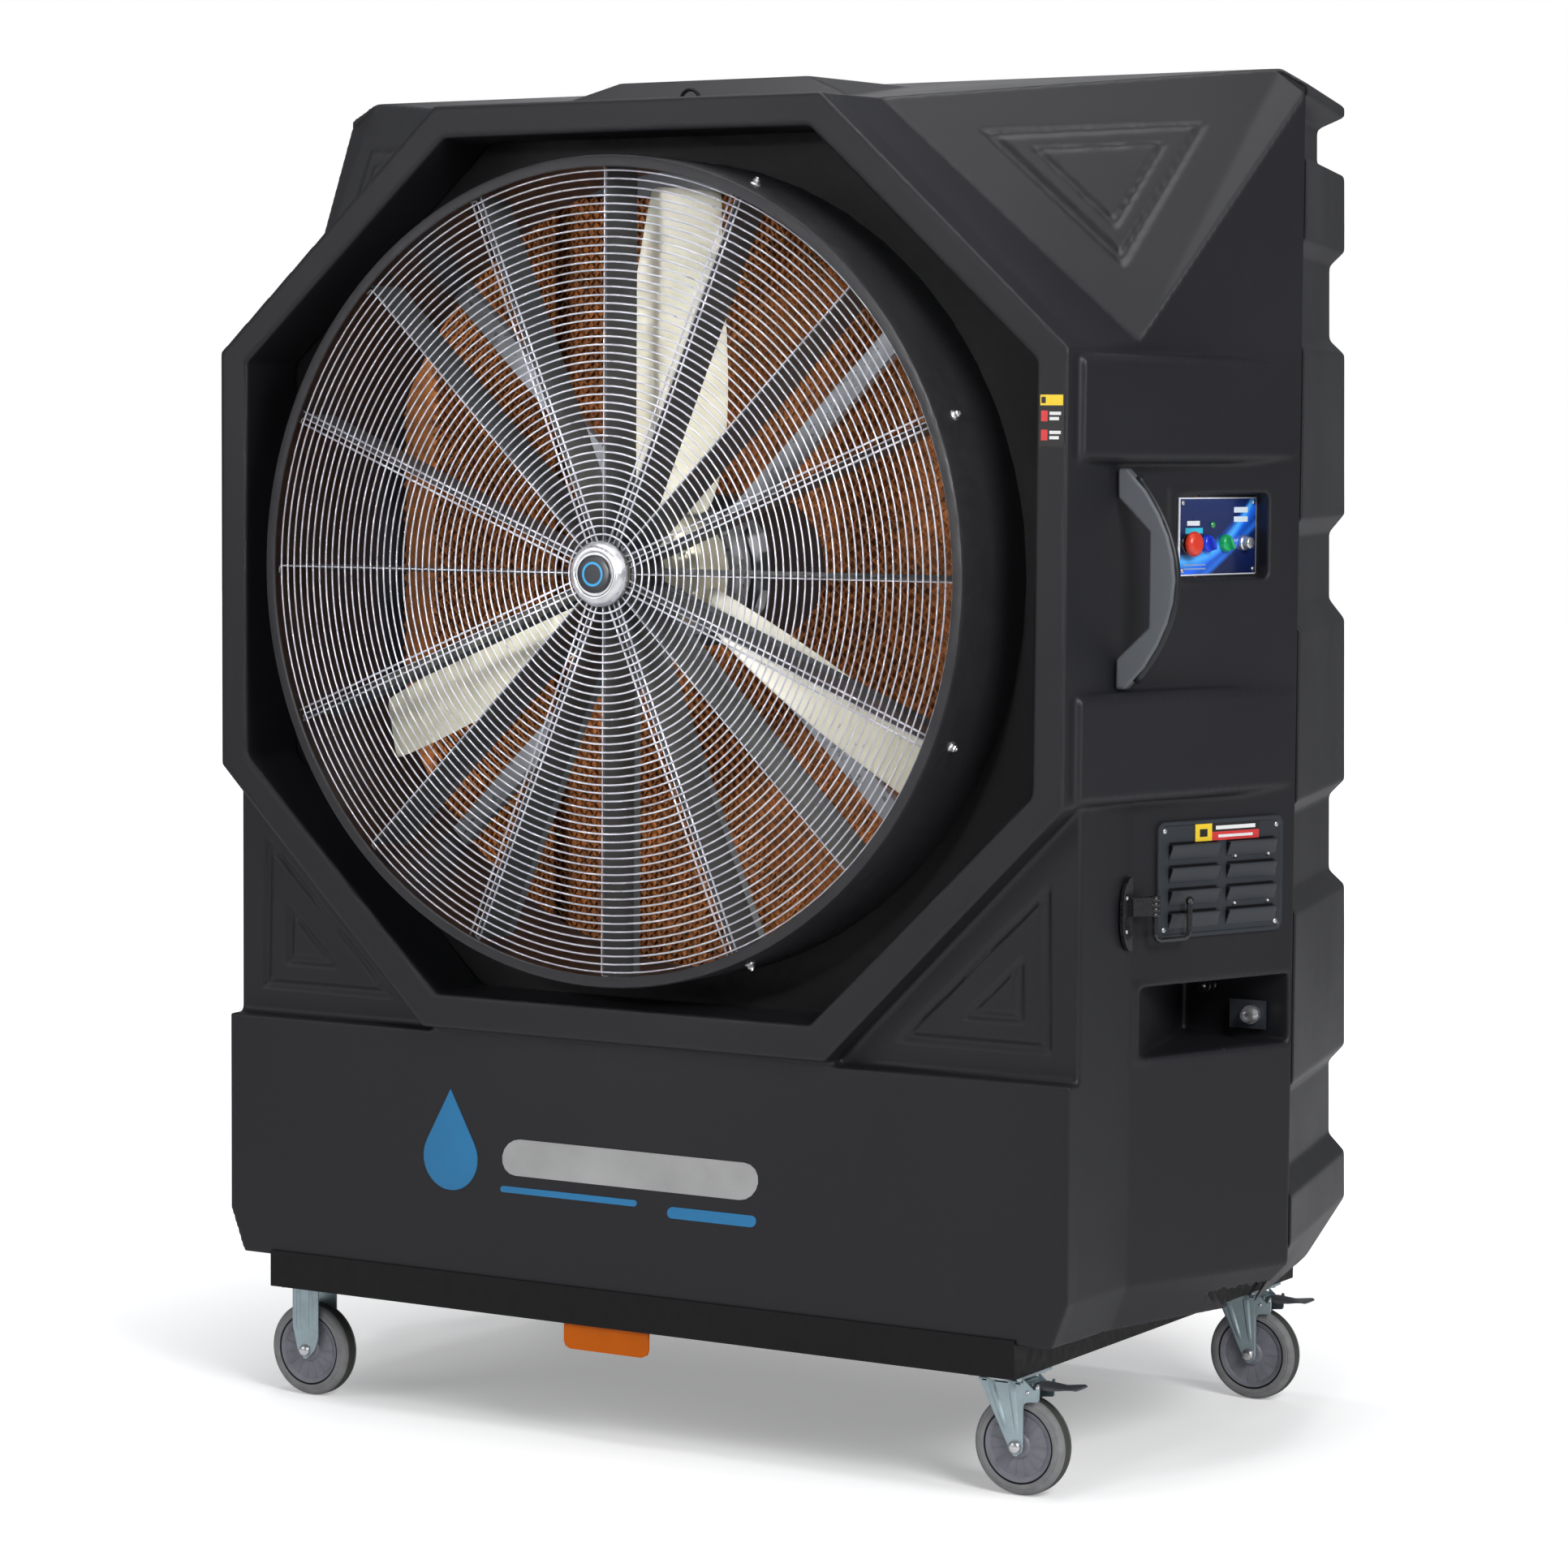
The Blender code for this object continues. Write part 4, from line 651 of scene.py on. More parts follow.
def pad_sheets(name, node, start, end, back, low, high):
    """Upright fluted sheets side by side from start to end, through a solid middle; back is the depth."""
    run = end - start
    count = int(run.length / PAD_PITCH)
    along = run.normalized()
    into = back.normalized()
    depth = back.length
    rises = int((high - low) / (PAD_WAVE / 2))
    bm = bmesh.new()
    for i in range(count):
        base = start + along * (PAD_PITCH * (i + 0.5))
        flip = 1 if i % 2 else -1
        rows = []
        for k in range(rises + 1):
            z = low + (high - low) * k / rises
            shift = (PAD_PITCH * 0.4) * (1 if k % 2 else -1) * flip
            near = base + along * shift
            far = base - along * shift + into * depth
            rows.append([bm.verts.new(Vector((p.x, p.y, z)) + along * t) for p, t in
                         ((near, -SHEET_HALF), (near, SHEET_HALF), (far, SHEET_HALF), (far, -SHEET_HALF))])
        close_rows(bm, rows)
    flat_piece(name, bm, PAPER, "cellulose", node)
    bm = bmesh.new()
    near, far = into * PAD_SKIN, into * (depth - PAD_SKIN)
    plan = (start + near, end + near, end + far, start + far)
    loft_loops(bm, [[Vector((p.x, p.y, z)) for p in plan] for z in (low + 0.002, high - 0.002)])
    flat_piece(name + "_core", bm, PAPER, "cellulose")


def pads():
    low, high = corners("pad_rear")
    pad_sheets("rear_pad", "pad_rear", Vector((low.x, low.y, 0)), Vector((high.x, low.y, 0)),
               Vector((0, high.y - low.y, 0)), low.z, high.z)
    for node, name in (("pad_right", "right_pad"), ("pad_left", "left_pad")):
        points = {(round(v.co.x, 4), round(v.co.y, 4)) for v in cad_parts[node].data.vertices}
        by_depth = sorted(points, key=lambda point: point[1])
        low, high = corners(node)
        front = sorted(by_depth[:2], key=lambda point: abs(point[0]))
        rear = sorted(by_depth[-2:], key=lambda point: abs(point[0]))
        start, end = Vector((*front[0], 0)), Vector((*rear[0], 0))
        outer = Vector((*front[1], 0)) - start
        along = (end - start).normalized()
        pad_sheets(name, node, start, end, outer - along * outer.dot(along), low.z, high.z)


# Controls

def plate_frame():
    """Middle, along and outward directions of the control plate's face, from the plate's mesh."""
    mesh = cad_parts["control_plate"].data
    face = max(mesh.polygons, key=lambda f: (f.normal.x > 0.9, f.area))
    out = Vector(face.normal).normalized()
    low, high = corners("control_plate")
    along = Z.cross(out).normalized()
    run = [v.co.dot(along) for v in mesh.vertices]
    return along, out, min(run), max(run), max(v.co.dot(out) for v in mesh.vertices), low.z, high.z


def on_plate(share, z):
    along, out, start, end, height, _, _ = plate_frame()
    return along * (start + (end - start) * share) + out * height + Z * z


def plate_graphics():
    """Printed face: navy with two lighter swooshes, pale blank fields and a cyan one."""
    along, _, start, end, _, low, high = plate_frame()
    g = Graph("control_face")
    u = g.share(along, start, end)
    v = g.span(g.axis(2), low, high, 0, 1)

    def band(curve, offset, width):
        path = g.math("ADD", g.math("MULTIPLY", g.math("POWER", u, 1 + curve), 0.9), offset)
        gap = g.math("ABSOLUTE", g.math("SUBTRACT", v, path))
        return g.span(gap, 0, width, 1, 0)

    tone = g.mix(g.span(v, 0, 1, 0, 1), (0.004, 0.01, 0.06), (0.006, 0.02, 0.11))
    tone = g.mix(band(0.6, 0.02, 0.2), tone, (0.012, 0.14, 0.85))
    tone = g.mix(band(1.4, 0.18, 0.1), tone, (0.07, 0.42, 1))
    tone = g.mix(band(0.2, -0.22, 0.08), tone, (0.02, 0.16, 0.75))
    for area, colour in (
        ((0.7, 0.88, 0.8, 0.87), (0.62, 0.72, 0.8)), ((0.7, 0.88, 0.68, 0.75), (0.62, 0.72, 0.8)),
        ((0.08, 0.3, 0.54, 0.61), (0.03, 0.5, 0.72)), ((0.1, 0.26, 0.64, 0.7), (0.72, 0.76, 0.8)),
        ((0.06, 0.34, 0.08, 0.098), (0.2, 0.3, 0.5)), ((0.06, 0.34, 0.13, 0.148), (0.2, 0.3, 0.5)),
    ):
        tone = g.mix(g.field(u, v, *area), tone, colour)
    edge = g.math("SUBTRACT", 1, g.field(u, v, 0.012, 0.988, 0.02, 0.98))
    tone = g.mix(edge, tone, (0.6, 0.62, 0.66))
    g.set(coat_weight=0.5, coat_roughness=0.1)
    return g.finish(tone, g.span(g.noise(80, 3), 0.3, 0.7, 0.25, 0.38), g.bump(g.noise(600), 0.00004, 0.5))


def control_panel():
    _, out, _, _, _, low, high = plate_frame()
    bm = node_mesh("control_plate")
    face = round_piece("panel_face", bm, plate_graphics(), "plate_blue", "control_plate")
    add_bevel(face, 0.0009, 2)
    bm = bmesh.new()
    for share in (0.045, 0.955):
        for z in (low + 0.008, high - 0.008):
            screw_head(bm, on_plate(share, z), out, 0.004, 0.002)
    round_piece("panel_screws", bm, STEEL, "chrome")


def knob_piece(node, name, profile, material, body, slot, steps):
    """A turned control that stands on its CAD node's axis."""
    _, out, _, _, height, _, _ = plate_frame()
    centre = middle(node)
    base = centre - out * (centre.dot(out) - height)
    spun_piece(name, profile, base, out, material, slot, node, body, steps)
    return base, out


def grip_bar(name, base, out, material, body, slot):
    """Raised pointer bar of a selector, on its knob."""
    turn = basis(out) @ Matrix.Rotation(radians(32), 4, "Z")
    bm = bmesh.new()
    loops = []
    for lift, share in ((0.006, 1), (0.01, 0.96), (0.0175, 0.8)):
        loop = []
        for a in circle(24):
            x = copysign(abs(cos(a)) ** 0.7, cos(a)) * 0.0031 * share
            y = copysign(abs(sin(a)) ** 0.7, sin(a)) * 0.01225 * share
            loop.append(base + turn @ Vector((x, y, lift)))
        loops.append(loop)
    loft_loops(bm, loops)
    add_bevel(round_piece(name, bm, material, slot, body=body), 0.0008, 2, 40)


def controls():
    control_panel()
    red_profile = [(0, 0.024), (0.008, 0.0237), (0.0125, 0.0228), (0.0162, 0.0205), (0.0184, 0.017),
                   (0.019, 0.014), (0.0182, 0.0118), (0.015, 0.0104), (0.01, 0.0096), (0.009, 0.0088),
                   (0.009, 0.005), (0, 0.005)]
    base, out = knob_piece("estop_button", "stop_head", red_profile, RED, "stop_button", "red_plastic", 56)
    collar = [(0.01, 0), (0.014, 0), (0.0148, 0.001), (0.0148, 0.003), (0.0138, 0.0042), (0.01, 0.0042)]
    spun_piece("stop_collar", collar, base, out, BLACK_GLOSS, "plate_blue", steps=48, closed=True)
    bezel = [(0, 0.0095), (0.0108, 0.0095), (0.0118, 0.0088), (0.0126, 0.007), (0.013, 0.004), (0.013, 0.0008),
             (0, 0.0008)]
    for node, name, tint, body, slot in (
        ("pump_switch", "pump_knob", BLUE, "pump_selector", "blue_plastic"),
        ("fan_switch", "fan_knob", GREEN, "fan_selector", "green_plastic"),
    ):
        base, out = knob_piece(node, name, bezel, tint, body, slot, 48)
        grip_bar(name + "_bar", base, out, tint, body, slot)
    dial = [(0, 0.016), (0.0072, 0.016), (0.0084, 0.0154), (0.0092, 0.014), (0.01, 0.006), (0.0116, 0.0045),
            (0.012, 0.002), (0.012, 0.0008), (0, 0.0008)]
    knob_piece("speed_knob", "speed_dial_knob", dial, STEEL, "speed_dial", "knob_chrome", 36)
    lens = [(0, 0.005), (0.0022, 0.0047), (0.0038, 0.0037), (0.0046, 0.0022), (0.0052, 0.0018), (0.0052, 0.0004),
            (0, 0.0004)]
    knob_piece("power_lamp", "lamp_lens", lens, LAMP, BODY, "green_lamp", 32)


# Side details

SIDE_RUN = Vector((0.118, 0.325, 0)).normalized()
SIDE_OUT = Vector((SIDE_RUN.y, -SIDE_RUN.x, 0))


def cover_frame():
    """Where the cover's back lies along SIDE_OUT, and where it starts and ends along SIDE_RUN."""
    points = [v.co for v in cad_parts["louver_cover"].data.vertices]
    run = [p.dot(SIDE_RUN) for p in points]
    return min(p.dot(SIDE_OUT) for p in points), min(run), max(run)


HOOD = (       # one louvre's section: lift off the cover, how much of it swells, height
    (0.003, 0, 0), (0.004, 0, 0), (0.0044, 0.0038, 0.009), (0.0044, 0.0082, 0.019),
    (0.0042, 0.009, 0.0222), (0.004, 0.0084, 0.0232), (0.003, 0, 0.0232),
)


def louver_cover():
    low, high = corners("louver_cover")
    base, u0, u1 = cover_frame()

    def place(u, lift, z):
        return SIDE_RUN * u + SIDE_OUT * (base + lift) + Z * z

    def rounded(inset, radius, lift):
        loop = []
        for cu, cz, first in ((u1, low.z, -90), (u1, high.z, 0), (u0, high.z, 90), (u0, low.z, 180)):
            su = -1 if cu == u1 else 1
            sz = 1 if cz == low.z else -1
            centre = (cu + su * (inset + radius), cz + sz * (inset + radius))
            for step in range(7):
                a = radians(first + 15 * step)
                loop.append(place(centre[0] + radius * cos(a), lift, centre[1] + radius * sin(a)))
        return loop

    bm = bmesh.new()
    loft_loops(bm, [rounded(0, 0.014, 0), rounded(0, 0.014, 0.0042), rounded(0.0012, 0.0128, 0.0058),
                    rounded(0.0058, 0.009, 0.0058), rounded(0.0078, 0.008, 0.0036)])
    flat_piece("vent_plate", bm, TRIM, "trim_plastic", "louver_cover")
    bm = bmesh.new()
    # Black strips that are painted shade, not openings: a painted shadow band above each hood and a painted shaded
    # end at each hood's open left end.
    painted_shade_strips = bmesh.new()
    for centre_u in (u0 + 0.0755, u0 + 0.1955):
        for row in range(4):
            z = low.z + 0.015 + row * 0.0343
            half = 0.0525
            loops = []
            for share, rise in ((-1, 1), (0.8, 1), (0.92, 0.85), (0.98, 0.5), (1, 0.1)):
                u = centre_u + half * share
                loops.append([place(u, lift + swell * rise, z + up) for lift, swell, up in HOOD])
            loft_loops(bm, loops)
            # Painted shadow: a thin black band lying on the plate just above the hood.
            shadow_band = [place(centre_u + half * a, 0.0041, z + b) for a, b in
                     ((-0.98, 0.0233), (0.9, 0.0233), (0.9, 0.0268), (-0.98, 0.0268))]
            loft_loops(painted_shade_strips, [shadow_band, [p - SIDE_OUT * 0.001 for p in shadow_band]])
            # Painted shade: a black slab across the hood's open left end, which lies in shadow.
            edge = [place(centre_u - half - 0.0006, lift, z + b) for lift, b in
                    ((0.004, 0.008), (0.0068, 0.01), (0.0116, 0.0215), (0.0112, 0.0228), (0.004, 0.0228))]
            loft_loops(painted_shade_strips, [edge, [p + SIDE_RUN * 0.0008 for p in edge]])
    hoods = flat_piece("vent_hoods", bm, TRIM, "trim_plastic")
    add_bevel(hoods, 0.0008, 2, 40)
    # The black strips above and beside the hoods are painted shade.
    flat_piece("vent_painted_shade", painted_shade_strips, BLACK_STEEL, "trim_plastic")
    bm = bmesh.new()
    for u in (u0 + 0.014, u1 - 0.014):
        for z in (low.z + 0.014, high.z - 0.014):
            screw_head(bm, place(u, 0.0036, z), SIDE_OUT, 0.0044, 0.0022)
    for u in (u0 + 0.158, u0 + 0.228):
        for z in (high.z - 0.0575, high.z - 0.129):
            screw_head(bm, place(u, 0.004, z), SIDE_OUT, 0.0032, 0.006)
    round_piece("vent_screws", bm, STEEL, "chrome")


def hook_mount():
    """Rounded mounting plate and the knuckles that carry the cord hook."""
    low, high = corners("hook_plate")
    mount = flat_piece("hook_mount", node_mesh("hook_plate"), BLACK_GLOSS, "trim_plastic", "hook_plate")
    add_bevel(mount, 0.0016, 3, 50)
    bm = bmesh.new()
    for z in (0.8674, 0.8752, 0.883, 0.8908):
        band = [(0.0078, -0.0026), (0.0086, -0.0022), (0.0086, 0.0022), (0.0078, 0.0026)]
        spun(bm, band, (high.x - 0.0085, high.y - 0.0085, z), Z, 24, True)
    round_piece("hook_knuckles", bm, BLACK_GLOSS, "trim_plastic")
    bm = bmesh.new()
    for z in (low.z + 0.03, high.z - 0.03):
        screw_head(bm, Vector((low.x + 0.006, low.y + 0.0125, z)), X, 0.0032, 0.0016)
    round_piece("hook_screws", bm, STEEL, "chrome")


def inlet_details():
    """Stub of the water inlet's valve, and the screw beside it."""
    low, high = corners("inlet_plate")
    bm = bmesh.new()
    for radius, z0, z1 in ((0.0105, 0, 0.012), (0.008, 0.01, 0.026), (0.0115, 0.024, 0.034)):
        profile = [(0, z1), (radius - 0.001, z1), (radius, z1 - 0.001), (radius, z0 + 0.001), (radius - 0.001, z0),
                   (0, z0)]
        spun(bm, profile, (low.x - 0.03, high.y - 0.002, high.z + 0.021), -Y, 20)
    flat_piece("inlet_valve", bm, BLACK_GLOSS, "trim_plastic")
    bm = bmesh.new()
    screw_head(bm, Vector((low.x - 0.03, high.y - 0.036, high.z + 0.021)), -Y, 0.0038, 0.002)
    round_piece("inlet_screw", bm, STEEL, "chrome")


def label(name, outline, out, fields, base, slot="housing_plastic", thickness=0.0007, relief=0.0008):
    """Thin sticker of plain fields. Its outline is four corners; a field is (u0, u1, v0, v1, colour)."""
    a, b, _, d = outline
    bm = bmesh.new()
    loft_loops(bm, [[p + out * lift for p in outline] for lift in (-relief, thickness)])
    g = Graph(name + "_print")
    u, v = (g.share(edge, a.dot(edge), a.dot(edge) + edge.dot(edge)) for edge in (b - a, d - a))
    tone = g.mix(0, base, base)
    for *area, colour in fields:
        tone = g.mix(g.field(u, v, *area), tone, colour)
    fine = g.noise(500, 3)
    tone = g.mix(g.span(fine, 0.4, 0.8, 0, 0.1), tone, (0.1, 0.1, 0.1))
    flat_piece(name, bm, g.finish(tone, 0.4, g.bump(fine, 0.00004, 0.5)), slot)


YELLOW, WHITE, SIGNAL_RED, INK = (0.75, 0.52, 0.02), (0.7, 0.7, 0.7), (0.55, 0.03, 0.03), (0.006, 0.006, 0.006)


def labels():
    collar = [at(x, 0, z) for x, z in ((0.72, 1.558), (0.76, 1.558), (0.76, 1.634), (0.72, 1.634))]
    rows = [(0.04, 0.96, 0.78, 0.98, YELLOW), (0.08, 0.26, 0.82, 0.94, INK)]
    for low in (0.48, 0.12):
        rows += [(0.08, 0.34, low, low + 0.2, SIGNAL_RED), (0.42, 0.88, low + 0.12, low + 0.18, WHITE),
                 (0.42, 0.8, low + 0.02, low + 0.08, WHITE)]
    label("collar_label", collar, -Y, rows, INK)
    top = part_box("louver_cover")[1][2]
    base, u0, _ = cover_frame()
    outline = [SIDE_RUN * (u0 + u) + SIDE_OUT * (base + 0.0044) + Z * (top + z) for u, z in
               ((0.076, -0.0325), (0.21, -0.0325), (0.21, -0.0065), (0.076, -0.0065))]
    fields = [(0, 0.26, 0, 1, YELLOW), (0.07, 0.19, 0.25, 0.7, INK), (0.26, 1, 0, 0.5, SIGNAL_RED),
              (0.32, 0.94, 0.62, 0.84, WHITE), (0.36, 0.9, 0.16, 0.32, WHITE)]
    label("vent_label", outline, SIDE_OUT, fields, INK, "trim_plastic", 0.0006, 0.0004)


def flat_sign(name, outline, depth, material):
    """Thin raised sign on the tank's front; the outline is in x and z."""
    bm = bmesh.new()
    loft_loops(bm, [[at(x, depth + lift, z) for x, z in outline] for lift in (0.0015, -0.0006)])
    flat_piece(name, bm, material, "housing_plastic")


def pill(x0, x1, z0, z1):
    """Bar with round ends, which leans to the right."""
    radius = (z1 - z0) / 2
    outline = []
    for centre, first in ((x1 - radius, -90), (x0 + radius, 90)):
        for step in range(9):
            a = radians(first + 22.5 * step)
            z = (z0 + z1) / 2 + radius * sin(a)
            outline.append((centre + radius * cos(a) + 0.15 * (z - z0), z))
    return outline


def drop(x, z, size):
    """Water drop standing on its round end."""
    outline = [(x, z + size * 2.1)]
    for step in range(21):
        a = radians(152 + 11.8 * step)
        outline.append((x + size * cos(a), z + size * sin(a)))
    return outline


def front_sign():
    """Plain mark on the tank: a drop of water, a pale bar and a short blue bar."""
    silver = painted("sign_silver", (0.36, 0.36, 0.36), 0.4, 0.3)
    blue = painted("sign_blue", (0.006, 0.15, 0.34), 0.35)
    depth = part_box("water_tank")[0][1] - FACE_Y - 0.069
    flat_sign("sign_drop", drop(-0.33, 0.43, 0.052), depth, blue)
    flat_sign("sign_bar", pill(-0.235, 0.235, 0.412, 0.47), depth, silver)
    flat_sign("sign_line", pill(-0.235, 0.02, 0.384, 0.394), depth, blue)
    flat_sign("sign_short", pill(0.075, 0.235, 0.372, 0.39), depth, blue)


# Other carried-over parts

def carried_over():
    for material, nodes in (
        (BLACK_STEEL, "base_frame fan_bulkhead roof_eye"), (ORANGE, "front_tab"), (MOUNT_PAINT, "motor_mount"),
        (MOTOR_PAINT, "fan_motor"), (STEEL, "fan_shaft water_inlet"), (HOSE, "supply_pipe"),
        (TRIM, "water_tank drain_plug pad_shelf water_channel rear_grille inlet_plate"),
        (BLACK_GLOSS, "pump cord_hook"), (BRASS, "float_valve float_arm"), (BOX_GREY, "electrical_box"),
        (ZINC, "swivel_plate_FR swivel_plate_RR"),
    ):
        for node in nodes.split():
            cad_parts[node].data.materials.clear()
            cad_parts[node].data.materials.append(material)
    for node in ("base_frame", "front_tab", "rear_grille", "water_tank", "inlet_plate"):
        add_bevel(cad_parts[node], 0.0018, 2, 40)


def handles():
    """Bowed grips with rounded edges, a dark rim and a slot near each end."""
    for side, node in (("right", "handle_right"), ("left", "handle_left")):
        bm = node_mesh(node)
        grip = flat_piece(f"grip_{side}", bm, HANDLE, "handle_grey", node)
        add_bevel(grip, 0.0045, 4, 28)
        low, high = corners(node)
        sign, foot = (1, low.x) if side == "right" else (-1, high.x)
        reach = high.x - low.x
        y = (low.y + high.y) / 2
        rim = []
        for i in range(33):
            share = 0.04 + 0.92 * i / 32
            bow = 0.014 + (reach - 0.014) * sin(pi * share) ** 0.8
            rim.append(Vector((foot + sign * (bow - 0.0012), y, low.z + (high.z - low.z) * share)))
        bm = bmesh.new()
        tube_mesh(bm, rim, 0.0062, 10)
        round_piece(f"grip_rim_{side}", bm, HANDLE_EDGE, "handle_grey")


# Casters

WHEEL_BODIES = {"FL": "left_front_wheel", "RL": "left_rear_wheel",
                "FR": "right_front_wheel", "RR": "right_rear_wheel"}
FORK_BODIES = {"FL": BODY, "RL": BODY, "FR": "right_front_fork", "RR": "right_rear_fork"}


def mirrored(profile):
    return profile + [(radius, -height) for radius, height in reversed(profile)]


def caster_wheel(tag):
    body = WHEEL_BODIES[tag]
    centre = middle(f"wheel_{tag}")
    low, high = corners(f"wheel_{tag}")
    radius, half = (high.z - low.z) / 2, (high.y - low.y) / 2
    tyre = mirrored([(0.0576, half - 0.003), (0.0585, half - 0.0006), (0.061, half), (0.065, half - 0.0002),
                     (0.0658, half - 0.001), (0.0664, half - 0.001), (0.0672, half - 0.0006),
                     (0.0705, half - 0.0016), (0.0735, half - 0.0045), (0.075, half - 0.008),
                     (radius - 0.0008, half - 0.011)])
    spun_piece(f"tyre_{tag}", tyre, centre, Y, TYRE, "wheel_grey", f"wheel_{tag}", body, 96, True)
    wide = half - 0.01
    tread = [(radius - 0.003, wide), (radius - 0.001, wide), (radius, wide - 0.002), (radius, 0.0012),
             (radius - 0.0006, 0), (radius, -0.0012), (radius, 0.002 - wide), (radius - 0.001, -wide),
             (radius - 0.003, -wide)]
    spun_piece(f"tread_{tag}", tread, centre, Y, TREAD, "wheel_grey", None, body, 96, True)
    seam = mirrored([(0.054, half - 0.0034), (0.0562, half - 0.0012), (0.0578, half - 0.0012),
                     (0.059, half - 0.003)])
    spun_piece(f"wheel_seam_{tag}", seam, centre, Y, BLACK_STEEL, "wheel_grey", None, body, 72, True)
    core = mirrored([(0.007, half - 0.0004), (0.0165, half - 0.0004), (0.0185, half - 0.0016),
                     (0.02, half - 0.0044), (0.047, half - 0.0052), (0.049, half - 0.0036),
                     (0.0555, half - 0.002), (0.0562, half - 0.004)])
    spun_piece(f"wheel_core_{tag}", core, centre, Y, CORE, "wheel_grey", None, body, 72, True)
    bm = bmesh.new()
    for side in (-1, 1):
        for a in circle(15):
            out = Vector((cos(a), 0, sin(a)))
            turn = Matrix((out, Y, out.cross(Y))).transposed().to_4x4()
            block_mesh(bm, centre + out * 0.0335 + Y * side * (half - 0.005), (0.0275, 0.0016, 0.0016), turn)
    flat_piece(f"wheel_ribs_{tag}", bm, CORE, "wheel_grey", body=body)


FORK_HALF = 0.025          # from a wheel's middle to its fork's legs


def fork_leg(bm, left, right, top, axle, y, out):
    """Pressed leg with two upright beads; left and right give its edges at each share of its height."""
    rows = []
    face = ((0, -0.0008), (0.06, 0), (0.17, 0), (0.22, 1), (0.3, 1), (0.35, 0), (0.65, 0),
            (0.7, 1), (0.78, 1), (0.83, 0), (0.94, 0), (1, -0.0008))        # 1 is a bead
    bottom = axle.z - 0.014
    for i in range(17):
        share = i / 16
        z = top + (bottom - top) * share
        fall = max(0, (axle.z - z) / 0.0142)
        round_end = sqrt(max(0.02, 1 - fall * fall))
        x0, x1 = left(share), right(share)
        if z < axle.z:
            x0 = axle.x - 0.0125 * round_end
            x1 = axle.x + 0.0125 * round_end
        bead = 0.002 * max(0, min(1, (0.66 - share) * 8)) * min(1, share * 10)
        rises = [(along, 0.0018 + (bead if lift == 1 else lift)) for along, lift in face]
        rises += [(along, -0.0018) for along in (1, 0.5, 0)]
        rows.append([Vector((x0 + (x1 - x0) * along, y + out * rise, z)) for along, rise in rises])
    loft_loops(bm, rows)


FORK_EAR = (               # outline of a swivel fork's side ear, from the axle
    (0.012, 0.06), (0.015, 0.0665), (0.02, 0.069), (0.0365, 0.071), (0.0385, 0.074), (0.0395, 0.096),
    (0.037, 0.0985), (0.0345, 0.0965), (0.0335, 0.09), (0.03, 0.089), (0.012, 0.104),
)
RIVET = ((0, 0.0026), (0.0018, 0.0022), (0.0032, 0.001), (0.0036, -0.0006), (0, -0.0006))


def caster_fork(tag):
    rigid = tag in ("FL", "RL")
    node = f"rigid_plate_{tag}" if rigid else f"swivel_fork_{tag}"
    body = FORK_BODIES[tag]
    high = corners(node)[1]
    axle = middle(f"axle_{tag}")
    centre_x = axle.x if rigid else axle.x - 0.028
    top = high.z - (0.004 if rigid else 0.002)
    bm = bmesh.new()

    def left(share):
        if rigid:
            return axle.x - 0.026 + 0.0135 * max(0, (share - 0.55) / 0.45)
        return centre_x - 0.034 + (axle.x - 0.0125 - centre_x + 0.034) * min(1, share / 0.88)

    def right(share):
        if rigid:
            return axle.x + 0.026 - 0.0135 * max(0, (share - 0.72) / 0.28)
        return axle.x + 0.0125

    for out in (-1, 1):
        y = axle.y + out * FORK_HALF
        fork_leg(bm, left, right, top, axle, y, out)
        if not rigid:
            outline = [Vector((axle.x + x, 0, axle.z + z)) for x, z in FORK_EAR]
            loft_loops(bm, [[p + Y * (y + side * 0.0016) for p in outline] for side in (-1, 1)])
    legs = flat_piece(f"fork_legs_{tag}", bm, ZINC, "zinc_steel", node, body)
    add_bevel(legs, 0.0006, 2, 50)
    bm = bmesh.new()
    if rigid:
        block_mesh(bm, (centre_x, axle.y, high.z - 0.003), (0.084, 0.096, 0.0055))
        block_mesh(bm, (centre_x, axle.y, high.z - 0.008), (0.052, 0.0536, 0.0045))
    else:
        block_mesh(bm, (centre_x + 0.002, axle.y, high.z - 0.0032), (0.074, 0.0536, 0.006))
        block_mesh(bm, (centre_x + 0.04, axle.y, high.z - 0.006), (0.018, 0.024, 0.006))
    crown = flat_piece(f"fork_crown_{tag}", bm, ZINC, "zinc_steel", body=body)
    add_bevel(crown, 0.0018, 3, 40)
    bm = bmesh.new()
    if rigid:
        for x in (-0.034, 0.034):
            for y in (-0.039, 0.039):
                screw_head(bm, Vector((centre_x + x, axle.y + y, high.z - 0.0056)), -Z, 0.0052, 0.0048)
    else:
        for x, z in ((0.02, 0.084), (0.0365, 0.093)):
            for side in (-1, 1):
                spun(bm, RIVET, (axle.x + x, axle.y + side * 0.0266, axle.z + z), Y * side, 16)
    round_piece(f"fork_bolts_{tag}", bm, STEEL, "zinc_steel", body=body)


def caster_axle(tag):
    node = f"axle_{tag}"
    low, high = corners(node)
    centre = middle(node)
    reach = (high.y - low.y) / 2
    profile = [(0, reach), (0.004, reach - 0.0004), (0.0075, reach - 0.0016), (0.0098, reach - 0.0044),
               (0.0102, reach - 0.007), (0.006, reach - 0.007), (0.006, 0)]
    profile += [(radius, -height) for radius, height in reversed(profile[:-1])]
    spun_piece(f"axle_bolt_{tag}", profile, centre, Y, STEEL, "zinc_steel", node, FORK_BODIES[tag], 32)


